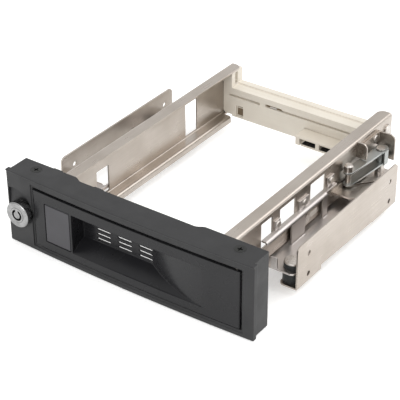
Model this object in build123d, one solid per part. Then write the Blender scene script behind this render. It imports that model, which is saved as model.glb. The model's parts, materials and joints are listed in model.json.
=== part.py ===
from build123d import *
from math import asin, cos, degrees, radians, sin, sqrt
import os

# Hot swap drive cage for one 3.5-inch drive in a half-height 5.25-inch slot.
# Y is measured here from the front face of the bezel towards the rear, X to the right seen from
# the front, Z up from the underside of the bezel. Lengths are millimetres, angles degrees.

# The drive that the bay holds
drive_width = 101.6
drive_side_gap = 0.4

# Sheet metal
steel = 1.0
bend_radius = 1.2
rivet_radius = 1.2
rivet_head_radius = 2.1
rivet_head = 0.7
seat_gap = 0.03
run_gap = 0.06
clear_gap = 0.3

# How far a cutting shape reaches past what it cuts
over = 1.0

# Bezel
bezel_width = 148.7
bezel_height = 42.1
body_width = 146.0
flange_depth = 3.1
lip_proud = 0.7
lip_height = 1.0
front_bow = 1.9
bow_x = 6.0
front_wall = 2.4
shell_wall = 2.2
bezel_depth = 14.6
waist_depth = 12.4
waist_left = -38.1
waist_right = 35.5
waist_run = 6.0
rebate_width = 1.2
rebate_depth = 0.5
boss_height = 1.9
clip_xs = (-52.0, -24.5)
clip_width = 5.4
clip_proud = 0.6

# Door
door_left = -56.5
door_right = 66.7
door_bottom = 4.1
door_top = 36.2
door_wall = 2.4
door_gap = 0.7
door_gap_top = 1.0
hinge_side_gap = 0.9
door_rim = 1.5
door_rim_depth = 2.9
door_rim_end = 48.0
door_nose_radius = 3.3
door_swing = 95.0
hinge_inset = 2.7
hinge_depth = 1.7
hinge_pin_radius = 1.0
hinge_pin_reach = 5.0
hinge_knuckle_wall = 1.4

# Finger pocket in the door
pocket_left = -32.0
pocket_bottom = 8.4
pocket_top = 30.6
pocket_depth = 7.9
pocket_wall = 1.2
pocket_slope_rise = 5.4
sweep_start = 8.5
sweep_end = 52.0
sweep_front = 1.35
sweep_inner_radius = 9.0
louvre_lefts = (-23.7, -10.7, 2.3)
louvre_length = 8.5
louvre_height = 1.1
louvre_rows = (15.4, 18.2, 21.0)

# Bare label plate beside the pocket
label_width = 16.4
label_thickness = 1.0
label_recess = 1.1
label_gap = 0.4

# Key lock in a scooped corner of the bezel
lock_x = -64.6
lock_z = 20.5
lock_collar_radius = 7.0
lock_proud = 4.2
lock_collar_bevel = 0.5
lock_barrel_radius = 4.9
lock_barrel_end = 9.3
lock_nut_radius = 6.0
lock_nut_length = 2.4
lock_pad_radius = 6.1
lock_pad_end = 4.6
plug_radius = 4.0
plug_post_radius = 2.2
key_ring_radius = 3.1
key_ring_width = 1.2
key_ring_depth = 2.2
key_ring_web = 1.6
scoop_radius = 11.5
scoop_depth = 0.9
scoop_centre_x = -69.5
scoop_centre_z = 20.7
scoop_rim = 0.8
cam_length = 11.0
cam_width = 6.0
cam_thickness = 1.2
hook_width = 4.0
hook_thickness = 1.5
hook_arm = 2.0

# Rails, with each window as its front, rear, bottom and distance below the rail's top
shelf_top = 10.5
shelf_inner = 44.5
shelf_end_gap = 2.0
lip_bottom = 6.5
flange_reach = 7.5
rail_front = 13.5
rail_rear = 167.0
rail_corner = 4.0
ear_front = 5.4
ear_reach = 13.8
ear_bend_start = 9.0
ear_drop = 7.0
bezel_screw_x = 61.0
bezel_screw_y = 8.6
screw_radius = 1.45
screw_head_radius = 2.9
screw_head = 1.2
screw_head_bevel = 0.4
screw_cross_width = 0.7
left_windows = ((43.0, 53.0, 11.0, 11.5), (121.0, 132.0, 11.0, 5.0))
right_windows = ((40.0, 50.0, 16.0, 3.2), (56.5, 70.5, 16.0, 3.2), (84.5, 98.6, 16.0, 3.2))

# Foot plates that hang the rails on the rubber mounts
ledge_top = 26.0
leaf_outer = 56.0
foot_top = 13.0
foot_side_gap = 1.0
foot_front = 40.0
leaf_rear = 95.5
ledge_rear = 106.0
foot_rear = 137.0
foot_tail = 152.0
foot_tail_outer = 66.0
plate_corner = 3.0
ear_corner = 2.0
leaf_openings = ((39.0, 61.8), (74.0, 91.0))
leaf_opening_top = 24.2
wall_tabs = ((51.0, 55.5), (73.0, 82.0), (100.0, 106.0))
wall_tab_top = 31.0
stop_tab_x = 59.5
stop_tab_width = 3.6
stop_tab_top = 19.0
rest_x = 60.6
rest_width = 4.8
rest_front = 113.0
rest_top = 16.4
left_strap_front = 54.5
left_strap_rear = 120.0
left_strap_top = 24.0
left_strip_top = 14.0
left_front_foot_rear = 52.5
left_rear_foot = (106.0, 113.0, 133.0)
left_rear_foot_corner = 60.0

# Outer brackets with the standard hole pattern
mount_pitch_y = 79.25
mount_pitch_z = 11.84
mount_hole_radius = 1.35
mount_first_y = 50.4
mount_first_z = 9.3
bracket_front = 40.2
bracket_rear = 137.0
bracket_top = 29.0
bracket_bottom = 4.6
bracket_corner = 3.0
bracket_bend = 0.9
bracket_tab_reach = 11.0
front_tab_rear = 62.5
rear_tab_front = 113.0
belly_rise_front = 3.0
belly_rise_rear = 1.0

# Rubber mounts
mount_inset = 4.5
mount_ys = (46.5, 127.0)
grommet_radius = 5.0
grommet_neck = 3.5
grommet_top = 16.0
grommet_upper_radius = 4.6
grommet_bevel = 0.5
stud_radius = 1.5
stud_head_radius = 4.4
stud_head = 0.8
stud_head_bevel = 0.3

# Rear carrier and backplane
carrier_front = 158.0
carrier_rear = 168.6
carrier_top = 27.6
carrier_wall = 2.2
carrier_end_width = 5.8
carrier_ridge = 0.8
carrier_ridge_front = 164.6
block_slot_front = 161.4
block_slot_width = 2.4
block_slot_depth = 2.6
block_ribs = 4
carrier_screw_y = 161.8
carrier_screw_z = 30.5
carrier_screw_wall = 2.0
groove_height = 1.2
groove_depth = 1.8
groove_z = 22.8
left_groove = (-47.4, -26.6)
wide_groove = (-22.9, -12.0)
right_groove_end = 43.4
foot_recess = (-42.7, -37.8)
foot_recess_top = 17.2
foot_recess_depth = 1.6
board_post_radius = 2.6
block_rib_height = 0.6
board_thickness = 1.6
board_gap = 0.3
board_side_gap = 1.7
board_screw_inset = 5.5
socket_front = 148.5
socket_z = 14.2
socket_height = 5.6
socket_left = 3.2
socket_right = 42.4
signal_slot = (6.0, 16.2)
power_slot = (18.6, 39.8)
socket_slot_height = 3.2
socket_bevel = 0.4
socket_key_width = 1.0
socket_tongue = 0.7
socket_tongue_inset = 1.6
socket_tongue_setback = 5.0
socket_slot_depth = 8.0
port_rear = 171.0
data_port_x = 16.0
data_port_width = 14.0
power_port_x = -16.0
power_port_width = 24.0
port_height = 7.0
port_wall = 1.2
port_tongue = 1.2

# Eject linkage on the right-hand rail
crank_radius = 7.0
crank_angle = 125.0
crank_thickness = 1.2
crank_top = 21.2
crank_bottom = 10.0
crank_leaf_left = 55.6
crank_leaf_right = 62.4
crank_arm_width = 5.0
crank_pin_radius = 1.5
crank_pin_head_radius = 2.2
crank_screw_head_radius = 2.2
crank_screw_head = 0.8
crank_screw_low = 12.4
crank_screw_high = 17.6
link_inner = 53.1
link_top = 22.8
link_bottom = 15.0
link_front = 4.7
yoke_thickness = 1.2
yoke_depth = 8.2
yoke_outer = 61.2
yoke_corner = 2.0
yoke_cut_x = 1.5
yoke_cut_y = 1.2
link_guide_ys = (26.0, 78.0)
link_guide_radius = 1.4
link_guide_head = 2.4
cam_plate_top = 19.2
link_rear = 112.5
cam_plate_front = 106.5
cam_plate_inner = 52.5
cam_plate_rear = 131.6
cam_plate_outer = 69.4
cam_plate_neck = 62.0
cam_plate_cut = 8.0
cam_slot_play = 0.15
pivot_x = 58.0
pivot_y = 145.5
pivot_radius = 1.5
pivot_shoulder_radius = 2.55
pivot_head_radius = 2.4
lever_tip_x = 55.4
lever_tip_y = 116.5
lever_swing = 21.0
lever_half_width = 2.7
lever_eye_radius = 3.6
lever_tail = 5.4
lever_levels = (20.0, 27.0)
lever_plate = 1.0
lever_web_half = 2.0
arm_bottom = 22.8
arm_thickness = 1.4
arm_tip_x = 46.6
arm_tip_y = 156.6
arm_half_width = 2.3
cam_pin_radius = 1.5
cam_pin_bottom = 16.9
cap_radius = 2.4
cap_height = 4.0
cap_bevel = 0.7
strap_front = 130.0
strap_rear = 153.0
strap_bottom = 28.6
strap_top = 34.2
strap_rivet_inset = 5.0
front_leaf_outer = 58.0
front_leaf_top = 37.6
front_leaf_rounding = 2.6
rear_leaf_outer = 62.5
rear_leaf_bottom = 25.8
rear_leaf_rounding = 3.0
rear_leaf_drop_inner = 56.8
rear_leaf_drop_bottom = 19.5

# Places worked out from the sizes above
rail_top = bezel_height - shell_wall - boss_height
rail_inner = drive_width / 2 + drive_side_gap
rail_outer = rail_inner + steel
face_y = lip_proud
door_back = face_y + door_wall
frame_back = face_y + front_wall
opening_left = door_left - door_gap
opening_right = door_right + hinge_side_gap
opening_bottom = door_bottom - door_gap
opening_top = door_top + door_gap_top
hinge_x = door_right - hinge_inset
hinge_y = face_y + hinge_depth
pocket_back = face_y + pocket_depth
lock_nut_rear = lock_pad_end + lock_nut_length
cam_front = lock_barrel_end + clear_gap
cam_rear = cam_front + cam_thickness
hook_front = cam_rear + 2 * clear_gap
leaf_inner = leaf_outer - steel
bracket_inner = body_width / 2 - steel
foot_outer = bracket_inner - foot_side_gap
mount_x = foot_outer - mount_inset
carrier_half = rail_inner - carrier_end_width
board_half_width = carrier_half - carrier_wall - board_side_gap
board_screw_x = board_half_width - board_screw_inset
board_front = carrier_front + carrier_wall + board_gap
board_rear = board_front + board_thickness
link_outer = link_inner + steel
overall_depth = port_rear + lock_proud
row_shift = lock_proud - overall_depth / 2


def front_at(depth, x):
    """Depth of the bowed front at a place across the bezel."""
    radius = ((bezel_width / 2) ** 2 + front_bow**2) / (2 * front_bow)
    return depth - front_bow + radius - sqrt(radius**2 - (x - bow_x) ** 2)


def crank_pin_at(angle):
    """Place of the crank pin in plan when the door stands open by this angle."""
    turn = radians(crank_angle + angle)
    return hinge_x + crank_radius * cos(turn), hinge_y + crank_radius * sin(turn)


def turned(x, y, angle):
    """A point of the eject lever in plan after the lever has turned by this angle."""
    turn = radians(angle)
    along = x - pivot_x
    across = y - pivot_y
    return (
        pivot_x + along * cos(turn) - across * sin(turn),
        pivot_y + along * sin(turn) + across * cos(turn),
    )


scoop_floor = front_at(face_y, lock_x) + scoop_depth
link_travel = crank_pin_at(0)[1] - crank_pin_at(door_swing)[1]
yoke_errors = [
    crank_pin_at(a)[1] - crank_pin_at(0)[1] + link_travel * a / door_swing
    for a in range(int(door_swing) + 1)
]
yoke_centre = crank_pin_at(0)[1] + (max(yoke_errors) + min(yoke_errors)) / 2
yoke_half = crank_pin_radius + (max(yoke_errors) - min(yoke_errors)) / 2 + clear_gap / 2


def block(x0, x1, y0, y1, z0, z1):
    """A box between two corners."""
    return Pos((x0 + x1) / 2, (y0 + y1) / 2, (z0 + z1) / 2) * Box(x1 - x0, y1 - y0, z1 - z0)


def bar_x(radius, x0, x1, y, z):
    """A round bar along X."""
    return Pos((x0 + x1) / 2, y, z) * Rot(0, 90, 0) * Cylinder(radius, x1 - x0)


def bar_y(radius, y0, y1, x, z):
    """A round bar along Y."""
    return Pos(x, (y0 + y1) / 2, z) * Rot(90, 0, 0) * Cylinder(radius, y1 - y0)


def bar_z(radius, z0, z1, x, y):
    """A round bar along Z."""
    return Pos(x, y, (z0 + z1) / 2) * Cylinder(radius, z1 - z0)


def group(solids):
    """Separate solids that share one node."""
    return Part() + list(solids)


def hand(shape, side):
    """The shape for the right side, or its mirror image for the left."""
    return shape if side > 0 else mirror(shape, about=Plane.YZ)


def cut_corner(shape, x, y, radius, to_x, to_y, z0, z1):
    """Rounds a plate's corner at x, y, whose material lies towards to_x, to_y."""
    cx = x + to_x * radius
    cy = y + to_y * radius
    corner = block(min(x, cx), max(x, cx), min(y, cy), max(y, cy), z0, z1)
    return shape - (corner - bar_z(radius, z0, z1, cx, cy))


def plan_plate(outline, z0, z1):
    """A flat plate from an outline in plan."""
    return extrude(Pos(0, 0, z0) * outline, amount=z1 - z0)


def common(first, second):
    """The space that two solids share."""
    return group((first & second).solids())


def behind_front(depth):
    """The space behind the bowed front, set back by a depth."""
    arc = ThreePointArc(*((x, front_at(depth, x)) for x in (-bezel_width, bow_x, bezel_width)))
    rear = 2 * bezel_depth
    rest = Polyline(arc @ 1, (bezel_width, rear), (-bezel_width, rear), arc @ 0)
    return plan_plate(make_face(arc + rest), -steel, bezel_height + steel)


def slot_along(path, half_width, z0, z1):
    """A round-ended slot that follows a path in plan."""
    tool = plan_plate(trace(path, 2 * half_width), z0, z1)
    for end in (path @ 0, path @ 1):
        tool += bar_z(half_width, z0, z1, end.X, end.Y)
    return tool


def bezel_outline():
    """Plan outline of the bezel's body, with the waist in its rear edge."""
    half = body_width / 2
    left = waist_left
    right = waist_right
    run = waist_run / 2
    edge = Polyline(
        (left - run, bezel_depth), (-half, bezel_depth), (-half, face_y + steel),
        (half, face_y + steel), (half, bezel_depth), (right + run, bezel_depth),
    )
    right_step = Spline(
        (right + run, bezel_depth), (right - run, waist_depth), tangents=[(-1, 0), (-1, 0)]
    )
    waist = Line((right - run, waist_depth), (left + run, waist_depth))
    left_step = Spline(
        (left + run, waist_depth), (left - run, bezel_depth), tangents=[(-1, 0), (-1, 0)]
    )
    return make_face(edge + right_step + waist + left_step)


def bezel_flange():
    """Bowed front flange with a thin lip along its top edge."""
    half = bezel_width / 2
    flange = block(-half, half, -bezel_depth, flange_depth, 0, bezel_height)
    lip = block(-half, half, -bezel_depth, flange_depth, bezel_height - lip_height, bezel_height)
    return common(flange, behind_front(face_y)) + common(lip, behind_front(face_y - lip_proud))


def front_bezel():
    """Moulded front shell with the door opening, hinge bosses, screw bosses and lock scoop."""
    half = body_width / 2
    shell = plan_plate(bezel_outline(), 0, bezel_height)
    shell -= block(
        -half + shell_wall, half - shell_wall, frame_back, bezel_depth + shell_wall,
        shell_wall, bezel_height - shell_wall,
    )
    shell += bezel_flange()
    for z0, z1 in ((0, opening_bottom), (opening_top, bezel_height)):
        shell += block(
            hinge_x - hinge_inset, opening_right + door_gap, face_y,
            hinge_y + 2 * hinge_pin_radius, z0, z1,
        )
    shell += bar_y(lock_pad_radius, scoop_floor, lock_pad_end, lock_x, lock_z)
    for side in (-1, 1):
        shell += bar_z(
            screw_head_radius + steel, rail_top, bezel_height, side * bezel_screw_x, bezel_screw_y
        )
    shell -= block(
        opening_left, opening_right, -bezel_depth, lock_pad_end, opening_bottom, opening_top
    )
    rebate = block(
        opening_left - rebate_width, opening_right + rebate_width, -bezel_depth, door_back,
        opening_bottom - rebate_width, opening_top + rebate_width,
    )
    shell -= rebate - behind_front(face_y + rebate_depth)
    shell -= lock_scoop()
    shell -= bar_y(lock_collar_radius + seat_gap, -bezel_depth, scoop_floor, lock_x, lock_z)
    shell -= bar_y(lock_barrel_radius + seat_gap, -bezel_depth, bezel_depth, lock_x, lock_z)
    for side in (-1, 1):
        shell -= countersunk_form(side * bezel_screw_x, seat_gap, rail_top - over)
    for z0, z1 in ((steel, opening_bottom + over), (opening_top - over, bezel_height - steel)):
        shell -= bar_z(hinge_pin_radius + seat_gap, z0, z1, hinge_x, hinge_y)
    for x in clip_xs:
        depth = bezel_depth if x < waist_left else waist_depth
        shell += block(
            x - clip_width / 2, x + clip_width / 2, depth - over, depth + clip_proud,
            bezel_height - shell_wall, bezel_height,
        )
    return shell


def lock_scoop():
    """Round scoop about the lock, which leaves a narrow rim along the bezel's left edge."""
    tilt = degrees(asin(scoop_depth / scoop_radius))
    reach = 2 * scoop_radius
    tool = Pos(0, -reach / 2, 0) * Rot(90, 0, 0) * Cylinder(scoop_radius, reach)
    tool = Pos(scoop_centre_x, scoop_floor, scoop_centre_z) * Rot(-tilt, 0, 0) * tool
    rim = scoop_rim - bezel_width / 2
    return tool - block(-bezel_width, rim, -2 * reach, bezel_depth, 0, bezel_height)


def countersunk_form(x, grow, bottom):
    """Solid of a countersunk screw from the bezel's top face down to a level."""
    neck = bezel_height - screw_head_radius + screw_radius
    head = Cone(screw_radius + grow, screw_head_radius + grow, bezel_height - neck)
    form = Pos(x, bezel_screw_y, (bezel_height + neck) / 2) * head
    return form + bar_z(screw_radius + grow, bottom, neck, x, bezel_screw_y)


def bezel_screws():
    """Two countersunk screws that hold the bezel to the ears of the rails."""
    screws = []
    for side in (-1, 1):
        screw = countersunk_form(side * bezel_screw_x, 0, rail_top - steel - 2 * screw_radius)
        at_head = Pos(side * bezel_screw_x, bezel_screw_y, bezel_height)
        for turn in (0, 90):
            cross = Rot(0, 0, turn) * Box(screw_head_radius, screw_cross_width, 2 * screw_radius)
            screw -= at_head * cross
        screws.append(screw)
    return group(screws)


def pocket_plan(grow):
    """Plan of the finger pocket, grown by a wall: square on the left, swept out on the right."""
    depth = pocket_depth + sweep_front
    run = sweep_end - sweep_start
    outer_radius = (run**2 + depth**2) / (2 * depth) - sweep_inner_radius
    turn = degrees(asin(run / (sweep_inner_radius + outer_radius)))
    front = -bezel_depth
    inner = JernArc((sweep_start, pocket_back), (1, 0), sweep_inner_radius, -turn)
    outer = JernArc(inner @ 1, inner % 1, outer_radius, turn)
    rest = Polyline(
        outer @ 1, (sweep_end, front), (pocket_left, front), (pocket_left, pocket_back), inner @ 0
    )
    plan = make_face(inner + outer + rest)
    return offset(plan, amount=grow) if grow else plan


def pocket_form(grow):
    """The finger pocket as a solid, with its sloping floor, grown by a wall."""
    form = plan_plate(pocket_plan(grow), pocket_bottom - grow, pocket_top + grow)
    slope = make_face(Polyline(
        (face_y - sweep_front, pocket_bottom - grow), (pocket_back + grow, pocket_bottom - grow),
        (pocket_back + grow, pocket_bottom - grow + pocket_slope_rise), close=True,
    ))
    wedge = extrude(Plane.YZ * slope, amount=sweep_end - pocket_left + 4 * pocket_wall)
    return form - Pos(pocket_left - 2 * pocket_wall, 0, 0) * wedge


def louvre_cuts():
    """Three groups of three air slots through the pocket's back wall."""
    cuts = Part()
    for left in louvre_lefts:
        for z in louvre_rows:
            cuts += block(
                left, left + louvre_length, pocket_back - pocket_wall,
                pocket_back + 2 * pocket_wall, z - louvre_height / 2, z + louvre_height / 2,
            )
    return cuts


def label_corners():
    """Left, right, bottom and top of the label plate's recess."""
    right = pocket_left - pocket_wall
    return right - label_width, right, pocket_bottom, pocket_top


def lock_hook():
    """Hook behind the door's left end, which the turned lock cam holds."""
    left = door_left + door_gap
    arm_bottom_z = lock_z + cam_width / 2 + 2 * clear_gap
    hook_rear = hook_front + hook_thickness
    arm = block(
        left, left + hook_width, face_y, hook_rear, arm_bottom_z, arm_bottom_z + hook_arm
    )
    tongue = block(
        left, left + hook_width, hook_front, hook_rear, lock_z - cam_width / 2, arm_bottom_z
    )
    return arm + tongue


def door_panel():
    """Door moulding: bowed skin, stiffening rim, finger pocket with louvres and lock hook."""
    front = behind_front(face_y)
    rim_rear = door_back + door_rim_depth
    form = block(door_left, door_right, -bezel_depth, door_back, door_bottom, door_top)
    form += block(door_left, door_rim_end, 0, rim_rear, door_bottom, door_top)
    hollow = block(
        door_left + door_rim, door_rim_end, 0, rim_rear + over,
        door_bottom + door_rim, door_top - door_rim,
    )
    door = common(form, front) - common(hollow, behind_front(face_y + door_wall))
    door += common(pocket_form(pocket_wall), front) + lock_hook()
    door -= pocket_form(0)
    door -= louvre_cuts()
    left, right, bottom, top = label_corners()
    recess = block(left, right, -bezel_depth, door_back, bottom, top)
    door -= recess - behind_front(face_y + label_recess)
    nose = block(hinge_x, door_right + over, -bezel_depth, door_back + over, 0, bezel_height)
    door -= nose - bar_z(door_nose_radius, 0, bezel_height, hinge_x, hinge_y)
    knuckles = (
        (door_bottom, door_bottom + hinge_pin_reach), (door_top - hinge_pin_reach, door_top)
    )
    for z0, z1 in knuckles:
        door += bar_z(hinge_pin_radius + hinge_knuckle_wall, z0, z1, hinge_x, hinge_y)
        door -= bar_z(hinge_pin_radius + run_gap, z0 - over, z1 + over, hinge_x, hinge_y)
    for z in crank_screw_zs():
        door -= bar_y(screw_radius + seat_gap, door_back - steel, door_back + over, crank_screw_x(), z)
    return door


def door_label_plate():
    """Bare plate that lies in the recess beside the finger pocket."""
    left, right, bottom, top = label_corners()
    plate = block(
        left + label_gap, right - label_gap, -bezel_depth, bezel_depth,
        bottom + label_gap, top - label_gap,
    )
    rear = face_y + label_recess
    return common(plate, behind_front(rear - label_thickness)) - behind_front(rear)


def hinge_pins():
    """Short steel pins at the top and bottom of the door, pressed into the bezel."""
    low = bar_z(hinge_pin_radius, steel, door_bottom + hinge_pin_reach - steel, hinge_x, hinge_y)
    high = bar_z(
        hinge_pin_radius, door_top - hinge_pin_reach + steel, bezel_height - steel, hinge_x, hinge_y
    )
    return group([low, high])


def lock_body():
    """Chromed lock housing with its collar and threaded barrel."""
    collar = bar_y(lock_collar_radius, -lock_proud, scoop_floor, lock_x, lock_z)
    collar = chamfer(collar.edges().group_by(Axis.Y)[0], lock_collar_bevel)
    body = collar + bar_y(lock_barrel_radius, 0, lock_barrel_end, lock_x, lock_z)
    return body - bar_y(plug_radius + run_gap, -bezel_depth, bezel_depth, lock_x, lock_z)


def lock_nut():
    """Slotted ring nut that clamps the lock against the bezel."""
    nut = bar_y(lock_nut_radius, lock_pad_end, lock_nut_rear, lock_x, lock_z)
    nut -= bar_y(lock_barrel_radius + seat_gap, 0, lock_barrel_end, lock_x, lock_z)
    for turn in (0, 90):
        cutter = Rot(0, turn, 0) * Box(3 * lock_nut_radius, steel, 2 * steel)
        nut -= Pos(lock_x, lock_nut_rear, lock_z) * cutter
    return nut


def lock_plug():
    """Key plug with the C-shaped key slot of a tubular lock and a rear post for the cam."""
    plug = bar_y(plug_radius, -lock_proud, lock_barrel_end, lock_x, lock_z)
    plug += bar_y(plug_post_radius, 0, cam_rear + 2 * steel, lock_x, lock_z)
    bottom = key_ring_depth - lock_proud
    outer = bar_y(key_ring_radius, -bezel_depth, bottom, lock_x, lock_z)
    core = bar_y(key_ring_radius - key_ring_width, -bezel_depth, bottom, lock_x, lock_z)
    bridge = block(
        lock_x - key_ring_web / 2, lock_x + key_ring_web / 2, -bezel_depth, key_ring_depth,
        lock_z, lock_z + 2 * key_ring_radius,
    )
    return plug - (outer - core - bridge)


def lock_cam():
    """Flat cam on the end of the plug, pointing down while the door is unlocked."""
    plate = block(
        lock_x - cam_width / 2, lock_x + cam_width / 2, cam_front, cam_rear,
        lock_z - cam_length + cam_width / 2, lock_z,
    )
    for z in (lock_z, lock_z - cam_length + cam_width / 2):
        plate += bar_y(cam_width / 2, cam_front, cam_rear, lock_x, z)
    return plate - bar_y(plug_post_radius + seat_gap, 0, bezel_depth, lock_x, lock_z)


def cam_nut():
    """Hexagon nut that holds the cam on the plug."""
    nut = extrude(Plane.XZ * RegularPolygon(2 * plug_post_radius, 6), amount=-steel * 1.5)
    nut = Pos(lock_x, cam_rear, lock_z) * nut
    return nut - bar_y(plug_post_radius + seat_gap, 0, bezel_depth, lock_x, lock_z)


def rail_section():
    """Cross-section of a rail: hanging lip, drive shelf, wall and inward top flange."""
    half = steel / 2
    line = FilletPolyline(
        (shelf_inner + half, lip_bottom), (shelf_inner + half, shelf_top - half),
        (rail_outer - half, shelf_top - half), (rail_outer - half, rail_top - half),
        (rail_outer - flange_reach, rail_top - half), radius=bend_radius,
    )
    return trace(line, steel)


def rail_ear():
    """Front ear that turns outwards under the bezel's top wall."""
    web = block(
        rail_inner, rail_outer, ear_bend_start, rail_front, rail_top - ear_drop, rail_top
    )
    ear = block(rail_inner, rail_outer + ear_reach, ear_front, rail_front, rail_top - steel, rail_top)
    ear -= block(rail_inner, rail_outer + steel, 0, ear_bend_start, 0, rail_top)
    for y, to_y in ((ear_front, 1), (rail_front, -1)):
        ear = cut_corner(
            ear, rail_outer + ear_reach, y, ear_corner, -1, to_y, rail_top - steel, rail_top
        )
    return web + ear


def rail(side, windows):
    """One bent-up side rail of the drive bay."""
    length = rail_rear - rail_front
    body = Pos(0, rail_front, 0) * extrude(Plane.XZ * rail_section(), amount=-length)
    tip = rail_outer - flange_reach
    body = cut_corner(
        body, tip, rail_rear, rail_corner, 1, -1, rail_top - steel - over, rail_top + over
    )
    body -= block(
        0, rail_inner - 2 * steel, carrier_front - shelf_end_gap, rail_rear + over, 0, shelf_top + over
    )
    body += rail_ear()
    for y0, y1, z0, below in windows:
        body -= block(rail_inner - over, rail_outer + over, y0, y1, z0, rail_top - below)
    body -= bar_z(
        screw_radius + seat_gap, rail_top - 2 * steel, rail_top + over, bezel_screw_x, bezel_screw_y
    )
    body -= bar_x(
        screw_radius + seat_gap, rail_inner - over, rail_outer + over, carrier_screw_y, carrier_screw_z
    )
    return hand(body, side)


def left_rail():
    """Left rail."""
    return rail(-1, left_windows)


def right_rail():
    """Right rail, with the slot for the eject arm and the holes for the linkage."""
    body = rail(1, right_windows)
    body -= block(
        rail_inner - over, rail_outer + over, pivot_y - 3 * clear_gap, arm_tip_y - 3 * clear_gap,
        arm_bottom - steel, arm_bottom + arm_thickness + steel,
    )
    for y in link_guide_ys:
        body -= bar_x(
            link_guide_radius + seat_gap, rail_inner - over, rail_outer + over, y, link_guide_z()
        )
    for y, z in right_rivets():
        body -= bar_x(rivet_radius + seat_gap, rail_inner - over, rail_outer + over, y, z)
    return body


def right_rivets():
    """Place and height of every rivet through the right rail."""
    plate = [(y, rivet_z()) for y in rivet_ys()]
    return plate + [(y, strap_rivet_z()) for y in strap_rivet_ys()]


def rivet_ys():
    """Places of the rivets that join the right foot plate to its rail."""
    return [(y0 + y1) / 2 for y0, y1 in wall_tabs]


def rivet_z():
    """Height of those rivets."""
    return (ledge_top + wall_tab_top) / 2


def strap_rivet_ys():
    """Places of the rivets that join the pivot bracket to the right rail."""
    return strap_front + strap_rivet_inset, strap_rear - strap_rivet_inset


def strap_rivet_z():
    """Height of those rivets."""
    return strap_top - rivet_head_radius - rivet_head / 2


def link_guide_z():
    """Height of the studs that guide the push link."""
    return (link_bottom + link_top) / 2


def crank_screw_x():
    """Place across the door of the two crank screws."""
    return (crank_leaf_left + crank_leaf_right) / 2


def crank_screw_zs():
    """Heights of the two crank screws."""
    return crank_screw_low, crank_screw_high


def rivet(x0, x1, y, z):
    """A rivet along X, flush inside the bay and with a low bevelled head outside."""
    head = bar_x(rivet_head_radius, x1, x1 + rivet_head, y, z)
    head = chamfer(head.edges().group_by(Axis.X)[-1], rivet_head / 2)
    return head + bar_x(rivet_radius, x0, x1, y, z)


def rail_rivets():
    """Rivets of the right foot plate and of the pivot bracket."""
    return group(rivet(rail_inner, rail_outer + steel, y, z) for y, z in right_rivets())


def right_foot_plate():
    """Bent plate that steps out from the right rail to its rubber mounts."""
    half = steel / 2
    floor = foot_top - steel
    line = FilletPolyline(
        (rail_outer, ledge_top - half), (leaf_outer - half, ledge_top - half),
        (leaf_outer - half, foot_top - half), (foot_outer, foot_top - half), radius=bend_radius,
    )
    length = leaf_rear - foot_front
    plate = Pos(0, foot_front, 0) * extrude(Plane.XZ * trace(line, steel), amount=-length)
    for y0, y1 in leaf_openings:
        plate -= block(leaf_inner - over, leaf_outer + over, y0, y1, foot_top, leaf_opening_top)
    plate += block(rail_outer, leaf_inner, leaf_rear, ledge_rear, ledge_top - steel, ledge_top)
    plate += block(rail_outer, leaf_outer, foot_front, foot_tail, floor, foot_top)
    foot = block(leaf_inner, foot_outer, leaf_rear, foot_rear, floor, foot_top)
    foot += block(leaf_inner, foot_tail_outer, leaf_rear, foot_tail, floor, foot_top)
    plate += cut_corner(foot, foot_tail_outer, foot_tail, plate_corner, -1, -1, floor, foot_top)
    plate = cut_corner(plate, foot_outer, foot_front, plate_corner, -1, 1, floor, foot_top)
    for y0, y1 in wall_tabs:
        plate += block(rail_outer, rail_outer + steel, y0, y1, ledge_top - steel, wall_tab_top)
    for y in rivet_ys():
        plate -= bar_x(rivet_radius + seat_gap, rail_inner, leaf_outer, y, rivet_z())
    plate += standing_tab(stop_tab_x, stop_tab_width, foot_front, stop_tab_top)
    plate += standing_tab(rest_x, rest_width, rest_front, rest_top)
    plate -= bar_z(pivot_radius + seat_gap, 0, foot_top + over, pivot_x, pivot_y)
    return plate - mount_holes()


def standing_tab(middle, width, front, top):
    """Narrow tab bent up from the right foot plate."""
    return block(
        middle - width / 2, middle + width / 2, front, front + steel, foot_top - steel, top
    )


def mount_holes():
    """Holes of a foot plate for the necks of its grommets."""
    return group(
        bar_z(grommet_neck + seat_gap, 0, bezel_height, mount_x, y) for y in mount_ys
    )


def left_foot_plate():
    """Strap along the left rail with a short foot at each end for the rubber mounts."""
    floor = foot_top - steel
    wall = rail_outer + steel
    plate = block(rail_outer, wall, left_strap_front, left_strap_rear, floor, left_strap_top)
    plate += block(rail_outer, wall, foot_front, left_strap_front, floor, left_strip_top)
    foot = block(rail_outer, foot_outer, foot_front, left_front_foot_rear, floor, foot_top)
    for y, to_y in ((foot_front, 1), (left_front_foot_rear, -1)):
        foot = cut_corner(foot, foot_outer, y, plate_corner, -1, to_y, floor, foot_top)
    root, front, rear = left_rear_foot
    rear_foot = make_face(Polyline(
        (rail_outer, root), (foot_outer, front), (foot_outer, rear), (left_rear_foot_corner, rear),
        (rail_outer, left_strap_rear), close=True,
    ))
    plate += foot + plan_plate(rear_foot, floor, foot_top)
    return hand(plate - mount_holes(), -1)


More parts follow.
